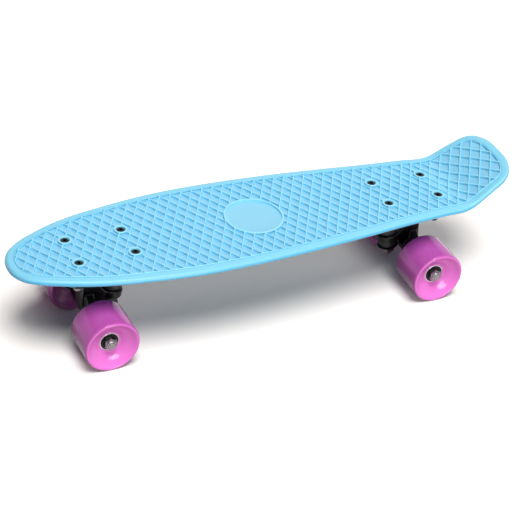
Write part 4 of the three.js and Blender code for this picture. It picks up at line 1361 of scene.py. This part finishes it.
# %% [markdown]
# ## The stage
# The board stands on pale paper in an even studio light. A white paper under bright lamps would lose its
# shadow and throw too much light back on the board. So the paper and the world have two strengths: a low one
# that lights the board, and a high one that is only seen, by the camera, in reflections and through clear
# things. Light Path tells them apart.

# %% Two strengths
def mixed_strength(tree, lit, seen):
    path = add_node(tree, "ShaderNodeLightPath")
    looked = add_node(tree, "ShaderNodeMath", operation="MAXIMUM")
    shown = add_node(tree, "ShaderNodeMath", operation="MAXIMUM")
    value = add_node(tree, "ShaderNodeMapRange")
    value.inputs["To Min"].default_value = lit
    value.inputs["To Max"].default_value = seen
    join_sockets(
        tree,
        (path.outputs["Is Camera Ray"], looked.inputs[0]),
        (path.outputs["Is Glossy Ray"], looked.inputs[1]),
        (looked.outputs["Value"], shown.inputs[0]),
        (path.outputs["Is Transmission Ray"], shown.inputs[1]),
        (shown.outputs["Value"], value.inputs["Value"]),
    )
    return value.outputs["Result"]


# %% World and floor
WORLD_LIT = 0.09
WORLD_SEEN = 1
FLOOR_LIT = 0.2
FLOOR_SEEN = 1.25
FLOOR_TINT = (1.0, 0.96, 0.925)
FLOOR_SIZE = 12


def light_world():
    world = bpy.data.worlds.new("studio")
    bpy.context.scene.world = world
    world.use_nodes = True
    tree = world.node_tree
    sky = tree.nodes["Background"]
    sky.inputs["Color"].default_value = (1, 1, 1, 1)
    tree.links.new(mixed_strength(tree, WORLD_LIT, WORLD_SEEN), sky.inputs["Strength"])


def make_paper():
    paper = bpy.data.materials.new("floor_paper")
    paper.use_nodes = True
    tree = paper.node_tree
    tree.nodes.remove(tree.nodes["Principled BSDF"])
    matt = add_node(tree, "ShaderNodeBsdfDiffuse")
    shade = add_node(tree, "ShaderNodeVectorMath", operation="SCALE")
    shade.inputs["Vector"].default_value = FLOOR_TINT
    join_sockets(
        tree,
        (mixed_strength(tree, FLOOR_LIT, FLOOR_SEEN), shade.inputs["Scale"]),
        (shade.outputs["Vector"], matt.inputs["Color"]),
        (matt.outputs["BSDF"], tree.nodes["Material Output"].inputs["Surface"]),
    )
    return paper


def lay_floor():
    bm = bmesh.new()
    bmesh.ops.create_grid(bm, x_segments=1, y_segments=1, size=FLOOR_SIZE / 2)
    mesh = bpy.data.meshes.new("floor")
    bm.to_mesh(mesh)
    bm.free()
    mesh.materials.append(make_paper())
    floor = bpy.data.objects.new("floor", mesh)
    bpy.context.scene.collection.objects.link(floor)
    floor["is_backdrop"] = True


light_world()
lay_floor()

# %% [markdown]
# One wide overhead light gives the board its soft shadow, a little towards the camera. A softbox behind draws
# the sheen on the deck's far side, and a low one in front lights the near edge and the wheels' faces and
# mirrors in their dishes. Point lamps would be simpler, but their highlights are dots and their shadows have
# hard rims.

# %% Lamps
SUN_STRENGTH = 2.4
SUN_ANGLE = math.radians(32)
SUN_TILT = (math.radians(18), math.radians(-3), 0)
AIM = Vector((0, 0, 0.05))
SOFTBOXES = {
    "softbox_behind": {"place": (0.44, 0.81, 0.92), "size": (1.0, 0.7), "power": 3.0},
    "softbox_front": {"place": (0.14, -2.44, 0.44), "size": (1.1, 0.66), "power": 32},
}


def add_lamp(name, kind, energy):
    lamp = bpy.data.objects.new(name, bpy.data.lights.new(name, kind))
    lamp.data.energy = energy
    bpy.context.scene.collection.objects.link(lamp)
    return lamp


sun = add_lamp("overhead", "SUN", SUN_STRENGTH)
sun.data.angle = SUN_ANGLE
sun.rotation_euler = SUN_TILT
for name, box in SOFTBOXES.items():
    softbox = add_lamp(name, "AREA", box["power"])
    softbox.data.shape = "RECTANGLE"
    softbox.data.size, softbox.data.size_y = box["size"]
    softbox.location = box["place"]
    softbox.rotation_euler = (AIM - softbox.location).to_track_quat("-Z", "Y").to_euler()
print("lamps:", 1 + len(SOFTBOXES))

# %% [markdown]
# The Standard view shows a colour as it is written. A film-like view would soften the highlights, but it
# would also turn the pale blue and the pink towards grey.

# %% Set the view
bpy.context.scene.view_settings.view_transform = "Standard"

# %% [markdown]
# A new piece can easily reach past the solid that it stands for, by a rounding or a wrong sign. Looking would
# not show a millimetre, so the box of all that was made is set beside the box of the solids, and both are
# written down.

# %% Compare the boxes and finish
made_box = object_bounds()
for corner, solid, made in zip(("low", "high"), cad_box, made_box):
    print(corner, "corner moved by", [round(b - a, 5) for a, b in zip(solid, made)])
